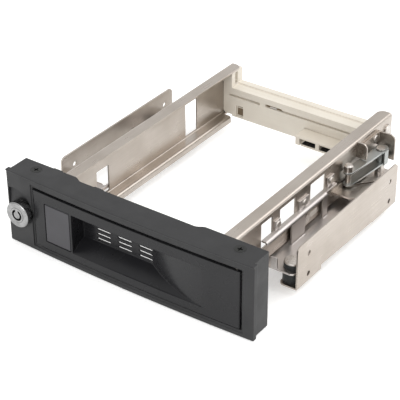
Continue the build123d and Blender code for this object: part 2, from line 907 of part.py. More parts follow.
def outer_bracket(side):
    """Angle bracket with the standard hole pattern and two tabs for the rubber mounts."""
    outer = body_width / 2
    wall_outline = make_face(Polyline(
        (bracket_front, bracket_bottom), (front_tab_rear, bracket_bottom),
        (front_tab_rear, bracket_bottom + belly_rise_front),
        (rear_tab_front, bracket_bottom + belly_rise_rear),
        (rear_tab_front, bracket_bottom), (bracket_rear, bracket_bottom),
        (bracket_rear, bracket_top), (bracket_front, bracket_top), close=True,
    ))
    tops = wall_outline.vertices().group_by(Axis.Y)[-1]
    wall_outline = fillet(tops, bracket_corner)
    body = Pos(bracket_inner, 0, 0) * extrude(Plane.YZ * wall_outline, amount=steel)
    for y0, y1 in ((bracket_front, front_tab_rear), (rear_tab_front, bracket_rear)):
        tab = block(
            outer - bracket_tab_reach, outer, y0, y1, bracket_bottom, bracket_bottom + steel
        )
        for y, to_y in ((y0, 1), (y1, -1)):
            tab = cut_corner(
                tab, outer - bracket_tab_reach, y, bracket_corner, 1, to_y, 0, bracket_top
            )
        body += tab
    bends = body.edges().filter_by(Axis.Y).group_by(Axis.Z)[0].group_by(Axis.X)[-1]
    body = fillet(bends, bracket_bend)
    for y in (mount_first_y, mount_first_y + mount_pitch_y):
        for z in (mount_first_z, mount_first_z + mount_pitch_z):
            body -= bar_x(mount_hole_radius, bracket_inner - over, outer + over, y, z)
    for y in mount_ys:
        body -= bar_z(stud_radius + seat_gap, 0, bracket_bottom + 2 * steel, mount_x, y)
    return hand(body, side)


def grommet(side, y):
    """Rubber grommet with the foot plate held in its groove."""
    base = bracket_bottom + steel
    body = bar_z(grommet_radius, base, foot_top - steel, mount_x, y)
    body = chamfer(body.edges().group_by(Axis.Z)[-1], grommet_bevel)
    upper = bar_z(grommet_upper_radius, foot_top, grommet_top, mount_x, y)
    upper = chamfer(upper.edges().group_by(Axis.Z)[-1], grommet_bevel)
    body += upper + bar_z(grommet_neck, base, grommet_top, mount_x, y)
    body -= bar_z(stud_radius + seat_gap, 0, bezel_height, mount_x, y)
    return hand(body, side)


def grommet_stud(side, y):
    """Shouldered stud staked into the bracket's tab, with a disc head over the grommet."""
    stud = bar_z(stud_radius, bracket_bottom, grommet_top + stud_head, mount_x, y)
    head = bar_z(stud_head_radius, grommet_top, grommet_top + stud_head, mount_x, y)
    return hand(stud + chamfer(head.edges().group_by(Axis.Z)[-1], stud_head_bevel), side)


def carrier_blocks():
    """End blocks of the carrier, each with a ribbed slot in its inner face."""
    outer = rail_inner
    inner = carrier_half
    top = rail_top - steel - clear_gap
    form = block(inner, outer, carrier_front, carrier_rear, shelf_top, top)
    form = chamfer(form.edges().filter_by(Axis.Y).group_by(Axis.X)[-1], bend_radius)
    slot_top = top - steel
    form -= block(
        inner - over, inner + block_slot_depth, block_slot_front, block_slot_front + block_slot_width,
        carrier_top + steel, slot_top,
    )
    pitch = (slot_top - carrier_top - steel) / (block_ribs + 1)
    for step in range(1, block_ribs + 1):
        z = carrier_top + steel + step * pitch
        form += block(
            inner + steel, inner + block_slot_depth, block_slot_front,
            block_slot_front + block_slot_width, z - block_rib_height / 2,
            z + block_rib_height / 2,
        )
    form -= bar_x(
        screw_radius + seat_gap, inner + carrier_screw_wall, outer + over, carrier_screw_y,
        carrier_screw_z,
    )
    return form + mirror(form, about=Plane.YZ)


def rear_carrier():
    """Hollow moulded crossmember that closes the rear of the bay and holds the backplane."""
    half = carrier_half
    beam = block(-half, half, carrier_front, carrier_rear, shelf_top - steel, carrier_top)
    beam += block(
        -half, half, carrier_ridge_front, carrier_rear, carrier_top, carrier_top + carrier_ridge
    )
    body = beam + carrier_blocks()
    body -= block(
        -half + carrier_wall, half - carrier_wall, carrier_front + carrier_wall, carrier_rear + over,
        shelf_top + steel, carrier_top - carrier_wall + carrier_ridge,
    )
    grip = clear_gap / 2
    body -= block(
        socket_left - grip, socket_right + grip, carrier_front - over, board_front,
        socket_z - socket_height / 2 - grip, socket_z + socket_height / 2 + grip,
    )
    for x0, x1 in (left_groove, (wide_groove[1], right_groove_end)):
        body -= block(
            x0, x1, carrier_front - over, carrier_front + groove_depth,
            groove_z - groove_height / 2, groove_z + groove_height / 2,
        )
    body -= block(
        wide_groove[0], wide_groove[1], carrier_front - over, carrier_front + groove_depth,
        groove_z - groove_height / 2, groove_z + groove_height,
    )
    body -= block(
        foot_recess[0], foot_recess[1], carrier_front - over, carrier_front + foot_recess_depth,
        shelf_top, foot_recess_top,
    )
    body -= block(
        arm_tip_x - 2 * arm_half_width, rail_inner + over, carrier_front - over,
        arm_tip_y + arm_half_width + clear_gap, arm_bottom - steel,
        arm_bottom + arm_thickness + steel,
    )
    for side in (-1, 1):
        x = side * board_screw_x
        body += bar_y(board_post_radius, carrier_front + steel, board_front, x, board_screw_z())
        body -= bar_y(
            screw_radius + seat_gap, carrier_front + steel, carrier_rear, x, board_screw_z()
        )
    return body


def board_screw_z():
    """Height of the backplane screws."""
    return (shelf_top + carrier_top) / 2 + over


def carrier_screws():
    """Screws through the rails into the end blocks of the carrier."""
    solids = []
    for side in (-1, 1):
        screw = bar_x(
            screw_radius, carrier_half + carrier_screw_wall, rail_outer, carrier_screw_y,
            carrier_screw_z,
        )
        head = bar_x(
            screw_head_radius, rail_outer, rail_outer + screw_head, carrier_screw_y, carrier_screw_z
        )
        head = chamfer(head.edges().group_by(Axis.X)[-1], screw_head_bevel)
        solids.append(hand(screw + head, side))
    return group(solids)


def backplane_board():
    """Circuit board screwed to the inside of the carrier."""
    board = block(
        -board_half_width, board_half_width, board_front, board_rear,
        shelf_top + steel + board_gap, carrier_top - carrier_wall,
    )
    for side in (-1, 1):
        x = side * board_screw_x
        board -= bar_y(screw_radius + seat_gap, 0, carrier_rear, x, board_screw_z())
    return board


def board_screws():
    """Pan head screws of the backplane board."""
    solids = []
    for side in (-1, 1):
        x = side * board_screw_x
        screw = bar_y(screw_radius, carrier_front + 2 * steel, board_rear, x, board_screw_z())
        screw += bar_y(screw_head_radius, board_rear, board_rear + screw_head, x, board_screw_z())
        solids.append(screw)
    return group(solids)


def drive_connector():
    """Receptacle that the drive plugs into: a signal slot and a longer power slot."""
    low = socket_z - socket_height / 2
    high = socket_z + socket_height / 2
    body = block(socket_left, socket_right, socket_front, board_front, low, high)
    body = chamfer(body.edges().group_by(Axis.Y)[0], socket_bevel)
    for x0, x1 in (signal_slot, power_slot):
        body -= block(
            x0, x1, socket_front - over, socket_front + socket_slot_depth,
            socket_z - socket_slot_height / 2, socket_z + socket_slot_height / 2,
        )
        body += block(
            x0 + socket_tongue_inset, x1 - socket_tongue_inset,
            socket_front + socket_tongue_setback, socket_front + socket_slot_depth,
            socket_z - socket_tongue / 2, socket_z + socket_tongue / 2,
        )
    for x0 in (signal_slot[0], power_slot[1] - socket_key_width):
        body -= block(
            x0, x0 + socket_key_width, socket_front - over, socket_front + socket_slot_depth,
            socket_z - socket_slot_height, socket_z,
        )
    return body


def rear_port(centre, width):
    """Shrouded plug on the back of the board for a cable."""
    low = shelf_top + 3 * steel
    shroud = block(
        centre - width / 2, centre + width / 2, board_rear, port_rear, low, low + port_height
    )
    shroud -= block(
        centre - width / 2 + port_wall, centre + width / 2 - port_wall, board_rear + steel,
        port_rear + over, low + port_wall, low + port_height - port_wall,
    )
    tongue = block(
        centre - width / 2 + 2 * port_wall, centre + width / 2 - 2 * port_wall, board_rear,
        port_rear - steel, low + (port_height - port_tongue) / 2,
        low + (port_height + port_tongue) / 2,
    )
    return shroud + tongue


def pivot_bracket():
    """Strap on the right rail with a leaf at each end, between which the lever swings."""
    inner = rail_outer
    body = block(inner, inner + steel, strap_front, strap_rear, strap_bottom, strap_top)
    leaves = (
        (front_leaf_outer, strap_front, strap_bottom, front_leaf_top, front_leaf_rounding),
        (rear_leaf_outer, strap_rear - steel, rear_leaf_bottom, strap_top, rear_leaf_rounding),
    )
    for outer, y, bottom, top, rounding in leaves:
        leaf = block(inner, outer, y, y + steel, bottom, top)
        corner = leaf.edges().filter_by(Axis.Y).group_by(Axis.X)[-1].group_by(Axis.Z)[-1]
        body += fillet(corner, rounding)
    body += block(
        rear_leaf_drop_inner, rear_leaf_outer, strap_rear - steel, strap_rear,
        rear_leaf_drop_bottom, rear_leaf_bottom,
    )
    for y in strap_rivet_ys():
        body -= bar_x(rivet_radius + seat_gap, inner - over, inner + steel + over, y, strap_rivet_z())
    return body


def lever_pivot_pin():
    """Shouldered pivot pin, staked in the foot plate and headed above the lever."""
    top = lever_levels[1] + lever_plate + clear_gap
    pin = bar_z(pivot_radius, foot_top - steel, top, pivot_x, pivot_y)
    pin += bar_z(
        pivot_shoulder_radius, foot_top, lever_levels[0] - clear_gap, pivot_x, pivot_y
    )
    return pin + bar_z(pivot_head_radius, top, top + 2 * clear_gap, pivot_x, pivot_y)


def lever_outline(x, y, half_width):
    """Round-ended bar in plan from the lever's pivot to a point."""
    return slot_along(Line((pivot_x, pivot_y), (x, y)), half_width, 0, lever_plate)


def eject_lever():
    """Two stacked bars joined by a web along their outer edge."""
    bar = lever_outline(lever_tip_x, lever_tip_y, lever_half_width)
    tail = lever_outline(pivot_x, pivot_y + lever_tail - lever_half_width, lever_half_width)
    eye = bar_z(lever_eye_radius, 0, lever_plate, pivot_x, pivot_y)
    body = Part()
    for level in lever_levels:
        body += Pos(0, 0, level) * (bar + tail + eye)
    outer = pivot_x + lever_eye_radius
    body += block(
        outer - lever_plate, outer, pivot_y - lever_web_half, pivot_y + lever_web_half,
        lever_levels[0], lever_levels[1] + lever_plate,
    )
    body -= bar_z(pivot_radius + run_gap, 0, bezel_height, pivot_x, pivot_y)
    return body - bar_z(cam_pin_radius + seat_gap, 0, bezel_height, lever_tip_x, lever_tip_y)


def eject_arm():
    """Inner arm between the bars, which pushes the drive forward off its connector."""
    arm = slot_along(
        Line((pivot_x, pivot_y), (arm_tip_x, arm_tip_y)), arm_half_width, arm_bottom,
        arm_bottom + arm_thickness,
    )
    hub = bar_z(
        arm_half_width, lever_levels[0] + lever_plate, lever_levels[1], pivot_x, pivot_y
    )
    return arm + hub - bar_z(pivot_radius + run_gap, 0, bezel_height, pivot_x, pivot_y)


def cam_pin():
    """Pin through the tip of the lever, which runs in the link's cam slot."""
    return bar_z(
        cam_pin_radius, cam_pin_bottom, lever_levels[1] + lever_plate, lever_tip_x, lever_tip_y
    )


def cam_pin_cap():
    """Domed steel cap on top of the cam pin."""
    base = lever_levels[1] + lever_plate
    cap = bar_z(cap_radius, base, base + cap_height, lever_tip_x, lever_tip_y)
    return chamfer(cap.edges().group_by(Axis.Z)[-1], cap_bevel)


def cam_slot_path():
    """Path of the cam pin over the link's cam plate as door, link and lever move together."""
    points = []
    for share in (0, 0.5, 1):
        x, y = turned(lever_tip_x, lever_tip_y, share * lever_swing)
        points.append((x, y + share * link_travel))
    return ThreePointArc(*points)


def push_link():
    """Push link bent from one strip: yoke at the front, guide slots and cam plate at the rear."""
    cam_bottom = cam_plate_top - steel
    strip = block(link_inner, link_outer, link_front, link_rear, link_bottom, link_top)
    yoke = block(
        link_inner, yoke_outer, link_front, link_front + yoke_depth,
        link_top - yoke_thickness, link_top,
    )
    yoke = cut_corner(yoke, yoke_outer, link_front + yoke_depth, yoke_corner, -1, -1, 0, bezel_height)
    yoke -= plan_plate(make_face(Polyline(
        (yoke_outer - yoke_cut_x, link_front), (yoke_outer, link_front + yoke_cut_y),
        (yoke_outer, link_front), close=True,
    )), 0, bezel_height)
    pin_xs = [crank_pin_at(a)[0] for a in (0, 180 - crank_angle)]
    yoke_slot = slot_along(
        Line((min(pin_xs), yoke_centre), (max(pin_xs), yoke_centre)), yoke_half, 0, bezel_height
    )
    plate = make_face(Polyline(
        (link_inner, cam_plate_front), (cam_plate_neck, cam_plate_front),
        (cam_plate_outer, link_rear), (cam_plate_outer, cam_plate_rear),
        (cam_plate_neck, cam_plate_rear), (cam_plate_inner, cam_plate_rear - cam_plate_cut),
        (cam_plate_inner, link_rear + clear_gap), (link_inner, link_rear + clear_gap), close=True,
    ))
    body = strip + (yoke - yoke_slot) + plan_plate(plate, cam_bottom, cam_plate_top)
    body -= slot_along(
        cam_slot_path(), cam_pin_radius + cam_slot_play, cam_bottom - over, cam_plate_top + over
    )
    for y in link_guide_ys:
        radius = link_guide_radius + run_gap
        middle = link_guide_z()
        slot = block(
            link_inner - over, link_outer + over, y, y + link_travel, middle - radius, middle + radius
        )
        for end in (y, y + link_travel):
            slot += bar_x(radius, link_inner - over, link_outer + over, end, middle)
        body -= slot
    return body


def link_guides():
    """Shouldered studs on the right rail that the push link slides along."""
    solids = []
    for y in link_guide_ys:
        z = link_guide_z()
        stud = bar_x(link_guide_radius, rail_inner, link_outer + clear_gap, y, z)
        stud += bar_x(link_guide_head, rail_outer, link_inner - clear_gap, y, z)
        stud += bar_x(link_guide_head, link_outer + clear_gap, link_outer + 2 * clear_gap, y, z)
        solids.append(stud)
    return group(solids)


def door_crank():
    """Bent crank screwed behind the door, with its arm under the link's yoke."""
    x, y = crank_pin_at(0)
    leaf = block(
        crank_leaf_left, crank_leaf_right, door_back, door_back + crank_thickness,
        crank_bottom, crank_top,
    )
    for z in crank_screw_zs():
        leaf -= bar_y(screw_radius + seat_gap, 0, bezel_depth, crank_screw_x(), z)
    arm = block(
        x - crank_arm_width / 2, x + crank_arm_width / 2, door_back, y,
        crank_top - crank_thickness, crank_top,
    )
    arm += bar_z(crank_arm_width / 2, crank_top - crank_thickness, crank_top, x, y)
    return leaf + arm - bar_z(crank_pin_radius + seat_gap, 0, bezel_height, x, y)


def crank_screws():
    """Screws of the door crank."""
    solids = []
    for z in crank_screw_zs():
        screw = bar_y(
            screw_radius, door_back - steel, door_back + crank_thickness, crank_screw_x(), z
        )
        head = bar_y(
            crank_screw_head_radius, door_back + crank_thickness,
            door_back + crank_thickness + crank_screw_head, crank_screw_x(), z,
        )
        solids.append(screw + head)
    return group(solids)


def crank_pin():
    """Headed pin of the crank, which runs in the yoke."""
    x, y = crank_pin_at(0)
    pin = bar_z(crank_pin_radius, crank_top - crank_thickness, link_top + clear_gap, x, y)
    return pin + bar_z(
        crank_pin_head_radius, link_top + clear_gap, link_top + 3 * clear_gap, x, y
    )


def all_parts():
    """Every node of the cage by name."""
    parts = {
        "front_bezel": front_bezel(),
        "bezel_screws": bezel_screws(),
        "hinge_pins": hinge_pins(),
        "door_panel": door_panel(),
        "door_label_plate": door_label_plate(),
        "door_crank": door_crank(),
        "crank_screws": crank_screws(),
        "crank_pin": crank_pin(),
        "lock_body": lock_body(),
        "lock_nut": lock_nut(),
        "lock_plug": lock_plug(),
        "lock_cam": lock_cam(),
        "cam_nut": cam_nut(),
        "left_rail": left_rail(),
        "right_rail": right_rail(),
        "rail_rivets": rail_rivets(),
        "left_foot_plate": left_foot_plate(),
        "right_foot_plate": right_foot_plate(),
        "rear_carrier": rear_carrier(),
        "carrier_screws": carrier_screws(),
        "backplane_board": backplane_board(),
        "board_screws": board_screws(),
        "drive_connector": drive_connector(),
        "data_port": rear_port(data_port_x, data_port_width),
        "power_port": rear_port(power_port_x, power_port_width),
        "push_link": push_link(),
        "link_guides": link_guides(),
        "pivot_bracket": pivot_bracket(),
        "lever_pivot_pin": lever_pivot_pin(),
        "eject_lever": eject_lever(),
        "eject_arm": eject_arm(),
        "cam_pin": cam_pin(),
        "cam_pin_cap": cam_pin_cap(),
    }
    for side, name in ((-1, "left"), (1, "right")):
        parts[name + "_bracket"] = outer_bracket(side)
        for y, place in zip(mount_ys, ("front", "rear")):
            parts[name + "_" + place + "_grommet"] = grommet(side, y)
            parts[name + "_" + place + "_stud"] = grommet_stud(side, y)
    return parts


os.makedirs("parts", exist_ok=True)
for node, shape in all_parts().items():
    export_step(Pos(0, row_shift, 0) * shape, f"parts/{node}.step")
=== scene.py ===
"""Hot swap drive cage: finishes, small fittings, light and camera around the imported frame."""

import json
import logging
import math
from collections.abc import Callable
from dataclasses import dataclass, field
from enum import Enum

import bmesh
import bpy
from mathutils import Matrix, Vector

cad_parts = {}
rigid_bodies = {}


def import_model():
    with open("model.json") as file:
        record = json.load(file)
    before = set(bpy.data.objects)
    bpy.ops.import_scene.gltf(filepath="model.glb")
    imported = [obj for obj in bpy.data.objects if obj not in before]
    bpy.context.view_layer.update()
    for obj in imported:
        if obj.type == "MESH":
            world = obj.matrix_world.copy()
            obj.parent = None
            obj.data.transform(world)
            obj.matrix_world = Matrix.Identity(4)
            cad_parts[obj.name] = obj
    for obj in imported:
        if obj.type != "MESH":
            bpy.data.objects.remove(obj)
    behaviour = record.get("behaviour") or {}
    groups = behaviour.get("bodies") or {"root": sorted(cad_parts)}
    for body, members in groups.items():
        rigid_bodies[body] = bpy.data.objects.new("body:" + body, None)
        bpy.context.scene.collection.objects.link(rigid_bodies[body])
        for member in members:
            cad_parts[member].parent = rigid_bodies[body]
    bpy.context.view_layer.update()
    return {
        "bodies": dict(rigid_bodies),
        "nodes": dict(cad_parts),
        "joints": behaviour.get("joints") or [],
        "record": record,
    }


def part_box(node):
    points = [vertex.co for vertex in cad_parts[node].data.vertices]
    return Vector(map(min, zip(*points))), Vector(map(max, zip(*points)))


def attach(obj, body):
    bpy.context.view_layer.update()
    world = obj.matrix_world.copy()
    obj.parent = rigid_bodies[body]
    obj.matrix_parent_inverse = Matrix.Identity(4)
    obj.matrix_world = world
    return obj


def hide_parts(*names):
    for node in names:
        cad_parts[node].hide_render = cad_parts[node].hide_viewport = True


LOG = logging.getLogger("drive_cage")
MM = 0.001
QUARTER_TURN = (math.pi / 2, 0, 0)

# Copied solids: points closer than this are one, and faces flatter than this are joined.
WELD_MM = 0.002
FLAT_DEGREES = 0.5

# Edges sharper than the first are eased. Shading breaks above the others, on sheet and on rounds.
EASED_DEGREES = 40
SHEET_DEGREES = 35
ROUND_DEGREES = 60

# Sockets of a Mix node for colours, by number, because its other kinds use the same names.
MIX_SHARE, MIX_FIRST, MIX_SECOND, MIX_RESULT = 0, 6, 7, 2


def linear(code: str) -> tuple[float, float, float, float]:
    """Turns an sRGB hex colour into linear RGBA.

    Args:
        code: six hex digits.

    Returns:
        The colour as the shaders take it.
    """
    parts = [int(code[i:i + 2], 16) / 255 for i in (0, 2, 4)]
    flat = [c / 12.92 if c <= 0.04045 else ((c + 0.055) / 1.055) ** 2.4 for c in parts]
    return (*flat, 1.0)


def add_node(tree: bpy.types.NodeTree, kind: str, values: dict | None = None, **settings) -> bpy.types.Node:
    """Adds a node, sets its options and fills or links its inputs.

    Args:
        tree: the tree that the node goes into.
        kind: the node's type name.
        values: input name or number to a plain value or another node's output.
        settings: options of the node.

    Returns:
        The new node.
    """
    node = tree.nodes.new(kind)
    for name, value in settings.items():
        setattr(node, name, value)
    for name, value in (values or {}).items():
        if isinstance(value, bpy.types.NodeSocket):
            tree.links.new(value, node.inputs[name])
        else:
            node.inputs[name].default_value = value
    return node


class Grain(Enum):
    """Direction in which a surface was rolled or rubbed: the small scale draws a pattern out."""

    ALONG_X = (0.02, 1.0, 1.0)
    ALONG_Y = (1.0, 0.02, 1.0)
    NONE = (1.0, 1.0, 1.0)


class Surface:
    """A node tree for one finish, with helpers for patterns whose sizes are real ones."""

    def __init__(self, name: str) -> None:
        """Starts a material that has only its shader.

        Args:
            name: the material's name.
        """
        self.material = bpy.data.materials.new(name)
        self.material.use_nodes = True
        self.tree = self.material.node_tree
        self.tree.nodes.clear()
        self.place = add_node(self.tree, "ShaderNodeTexCoord").outputs["Object"]
        self.shader = add_node(self.tree, "ShaderNodeBsdfPrincipled")
        out = add_node(self.tree, "ShaderNodeOutputMaterial")
        self.tree.links.new(self.shader.outputs[0], out.inputs["Surface"])

    def set(self, **values) -> None:
        """Sets or links the shader's inputs.

        Args:
            values: input name, with underscores for its spaces, to a value or a pattern.
        """
        for name, value in values.items():
            socket = self.shader.inputs[name.replace("_", " ")]
            if isinstance(value, bpy.types.NodeSocket):
                self.tree.links.new(value, socket)
            else:
                socket.default_value = value

    def noise(self, size_mm: float, detail: float = 3.0, grain: Grain = Grain.NONE) -> bpy.types.NodeSocket:
        """A noise pattern.

        Args:
            size_mm: width of its features.
            detail: number of finer layers.
            grain: direction in which the features are drawn out.

        Returns:
            The noise as a value from 0 to 1.
        """
        stretched = add_node(
            self.tree, "ShaderNodeMapping", {"Vector": self.place, "Scale": grain.value}
        )
        return add_node(
            self.tree, "ShaderNodeTexNoise",
            {"Vector": stretched.outputs[0], "Scale": 1 / (size_mm * MM), "Detail": detail},
        ).outputs["Fac"]

    def spread(self, source: bpy.types.NodeSocket, low: float, high: float, start: float = 0.3,
               end: float = 0.7) -> bpy.types.NodeSocket:
        """Maps a pattern to another range and holds it at both ends.

        Args:
            source: the pattern.
            low: what the start gives.
            high: what the end gives.
            start: the pattern's value where the change starts.
            end: the pattern's value where it ends.

        Returns:
            The mapped pattern.
        """
        return add_node(
            self.tree, "ShaderNodeMapRange",
            {"Value": source, "From Min": start, "From Max": end, "To Min": low, "To Max": high},
        ).outputs[0]

    def patchy(self, value: float, shares: tuple[float, float], patch_mm: float,
               detail: float = 5.0) -> bpy.types.NodeSocket:
        """A value that differs a little from patch to patch.

        Args:
            value: the value, such as a roughness.
            shares: the lowest and the highest share of it.
            patch_mm: width of a patch.
            detail: number of finer layers.

        Returns:
            The value as a pattern.
        """
        return self.spread(self.noise(patch_mm, detail), value * shares[0], value * shares[1])

    def tint(self, share: bpy.types.NodeSocket, first: bpy.types.NodeSocket | str,
             second: str) -> bpy.types.NodeSocket:
        """Mixes two colours.

        Args:
            share: how much of the second colour there is, from 0 to 1.
            first: a hex colour, or the colour of another pattern.
            second: a hex colour.

        Returns:
            The mixed colour.
        """
        start = linear(first) if isinstance(first, str) else first
        return add_node(
            self.tree, "ShaderNodeMix",
            {MIX_SHARE: share, MIX_FIRST: start, MIX_SECOND: linear(second)}, data_type="RGBA",
        ).outputs[MIX_RESULT]

    def relief(self, height: bpy.types.NodeSocket, depth_mm: float, strength: float = 1.0,
               under: bpy.types.NodeSocket | None = None) -> bpy.types.NodeSocket:
        """Bump from a height pattern.

        Args:
            height: the pattern.
            depth_mm: height of its relief.
            strength: how much of that height is shown.
            under: bump that this one lies on.

        Returns:
            The normal for the shader.
        """
        values = {"Height": height, "Distance": depth_mm * MM, "Strength": strength}
        if under is not None:
            values["Normal"] = under
        return add_node(self.tree, "ShaderNodeBump", values).outputs[0]


@dataclass(frozen=True)
class MouldedPlastic:
    """Injection moulded plastic with a fine eroded texture, faint scuffs and a soft gloss.

    The texture is drawn coarser than a real one, which is too fine to show in the render.
    """

    name: str
    colour: str
    worn: str
    roughness: float
    texture_mm: float = 0.35
    texture_depth_mm: float = 0.012
    shine: float = 0.5
    cloud_mm: float = 22.0
    scuff_mm: float = 1.6
    gloss_patch_mm: float = 9.0
    gloss_shares: tuple[float, float] = (0.88, 1.12)
    sink_mm: float = 14.0
    sink_depth_mm: float = 0.05

    def make(self) -> bpy.types.Material:
        """Builds the material.

        Returns:
            The finished material.
        """
        s = Surface(self.name)
        cloud = s.spread(s.noise(self.cloud_mm), 0.0, 0.7)
        rubbed = s.noise(self.scuff_mm, 6, Grain.ALONG_X)
        scuffs = s.spread(rubbed, 0.0, 1.0, start=0.62, end=0.8)
        colour = s.tint(scuffs, s.tint(cloud, self.colour, self.worn), self.worn)
        rough = s.patchy(self.roughness, self.gloss_shares, self.gloss_patch_mm)
        texture = s.relief(s.noise(self.texture_mm, 2), self.texture_depth_mm, 0.7)
        sinks = s.relief(s.noise(self.sink_mm, 1), self.sink_depth_mm, 0.35, texture)
        s.set(Base_Color=colour, Roughness=rough, Normal=sinks)
        s.set(Specular_IOR_Level=self.shine)
        return s.material


@dataclass(frozen=True)
class PlatedSheet:
    """Rolled steel sheet with bright plating: roll lines, cloudy stains and faint buckles.

    The roll lines are drawn coarser than real ones, which are too fine to show in the render.
    """

    name: str
    colour: str
    stain: str
    roughness: float
    grain: Grain = Grain.ALONG_Y
    stain_mm: float = 26.0
    roll_line_mm: float = 0.55
    roll_line_depth_mm: float = 0.003
    gloss_patch_mm: float = 12.0
    gloss_shares: tuple[float, float] = (0.85, 1.2)
    buckle_mm: float = 38.0
    buckle_depth_mm: float = 0.08
    anisotropy: float = 0.35

    def make(self) -> bpy.types.Material:
        """Builds the material.

        Returns:
            The finished material.
        """
        s = Surface(self.name)
        stains = s.spread(s.noise(self.stain_mm, 4), 0.0, 1.0, start=0.42, end=0.68)
        streaks = s.noise(self.roll_line_mm, 4, self.grain)
        lines = s.spread(streaks, 0.0, 0.3, start=0.35, end=0.75)
        colour = s.tint(lines, s.tint(stains, self.colour, self.stain), self.stain)
        patches = s.patchy(self.roughness, self.gloss_shares, self.gloss_patch_mm)
        rough = add_node(
            s.tree, "ShaderNodeMath", {0: patches, 1: s.spread(streaks, -0.05, 0.06)},
            operation="ADD",
        ).outputs[0]
        rolled = s.relief(streaks, self.roll_line_depth_mm, 0.4)
        buckles = s.relief(s.noise(self.buckle_mm, 1), self.buckle_depth_mm, 0.15, rolled)
        s.set(Base_Color=colour, Metallic=1.0, Roughness=rough, Normal=buckles)
        s.set(Anisotropic=self.anisotropy)
        return s.material


@dataclass(frozen=True)
class SmallMetal:
    """Turned, cast or plated small metal part with slight stains and tool marks."""

    name: str
    colour: str
    stain: str
    roughness: float
    metallic: float = 1.0
    stain_mm: float = 3.5
    gloss_patch_mm: float = 1.2
    gloss_shares: tuple[float, float] = (0.8, 1.3)
    tool_mark_mm: float = 0.25
    tool_mark_depth_mm: float = 0.002

    def make(self) -> bpy.types.Material:
        """Builds the material.

        Returns:
            The finished material.
        """
        s = Surface(self.name)
        stains = s.spread(s.noise(self.stain_mm, 4), 0.0, 1.0, start=0.4, end=0.75)
        rough = s.patchy(self.roughness, self.gloss_shares, self.gloss_patch_mm, 4)
        marks = s.relief(s.noise(self.tool_mark_mm), self.tool_mark_depth_mm, 0.3)
        s.set(Base_Color=s.tint(stains, self.colour, self.stain), Metallic=self.metallic)
        s.set(Roughness=rough, Normal=marks)
        return s.material


@dataclass(frozen=True)
class BlackRubber:
    """Moulded rubber: dark, with a soft sheen and dusty patches."""

    name: str
    colour: str
    dust: str
    roughness: float = 0.62
    sheen: float = 0.15
    dust_mm: float = 2.2
    pore_mm: float = 0.3
    pore_depth_mm: float = 0.02

    def make(self) -> bpy.types.Material:
        """Builds the material.

        Returns:
            The finished material.
        """
        s = Surface(self.name)
        dust = s.spread(s.noise(self.dust_mm, 5), 0.0, 0.5, start=0.5, end=0.8)
        s.set(Base_Color=s.tint(dust, self.colour, self.dust), Roughness=self.roughness)
        s.set(Normal=s.relief(s.noise(self.pore_mm), self.pore_depth_mm, 0.6))
        s.set(Sheen_Weight=self.sheen)
        return s.material


@dataclass(frozen=True)
class SolderMask:
    """Circuit board: glossy green lacquer with paler copper runs just under it."""

    name: str
    board: str
    copper: str
    roughness: float = 0.32
    lacquer: float = 0.5
    lacquer_roughness: float = 0.15
    track_mm: float = 1.3
    tracks_in_cell: float = 3.0
    runs_in_cell: float = 9.0
    track_height_mm: float = 0.03

    def make(self) -> bpy.types.Material:
        """Builds the material.

        Returns:
            The finished material.
        """
        s = Surface(self.name)
        cell = self.track_mm * MM * self.tracks_in_cell
        squares = add_node(
            s.tree, "ShaderNodeTexVoronoi", {"Vector": s.place, "Scale": 1 / cell},
            distance="MANHATTAN",
        )
        runs = add_node(
            s.tree, "ShaderNodeMath", {0: squares.outputs["Distance"], 1: self.runs_in_cell},
            operation="MULTIPLY",
        )
        teeth = add_node(s.tree, "ShaderNodeMath", {0: runs.outputs[0]}, operation="FRACT")
        tracks = s.spread(teeth.outputs[0], 0.0, 0.8, start=0.55, end=0.62)
        s.set(Base_Color=s.tint(tracks, self.board, self.copper), Roughness=self.roughness)
        s.set(Coat_Weight=self.lacquer, Coat_Roughness=self.lacquer_roughness)
        s.set(Normal=s.relief(tracks, self.track_height_mm, 0.5))
        return s.material


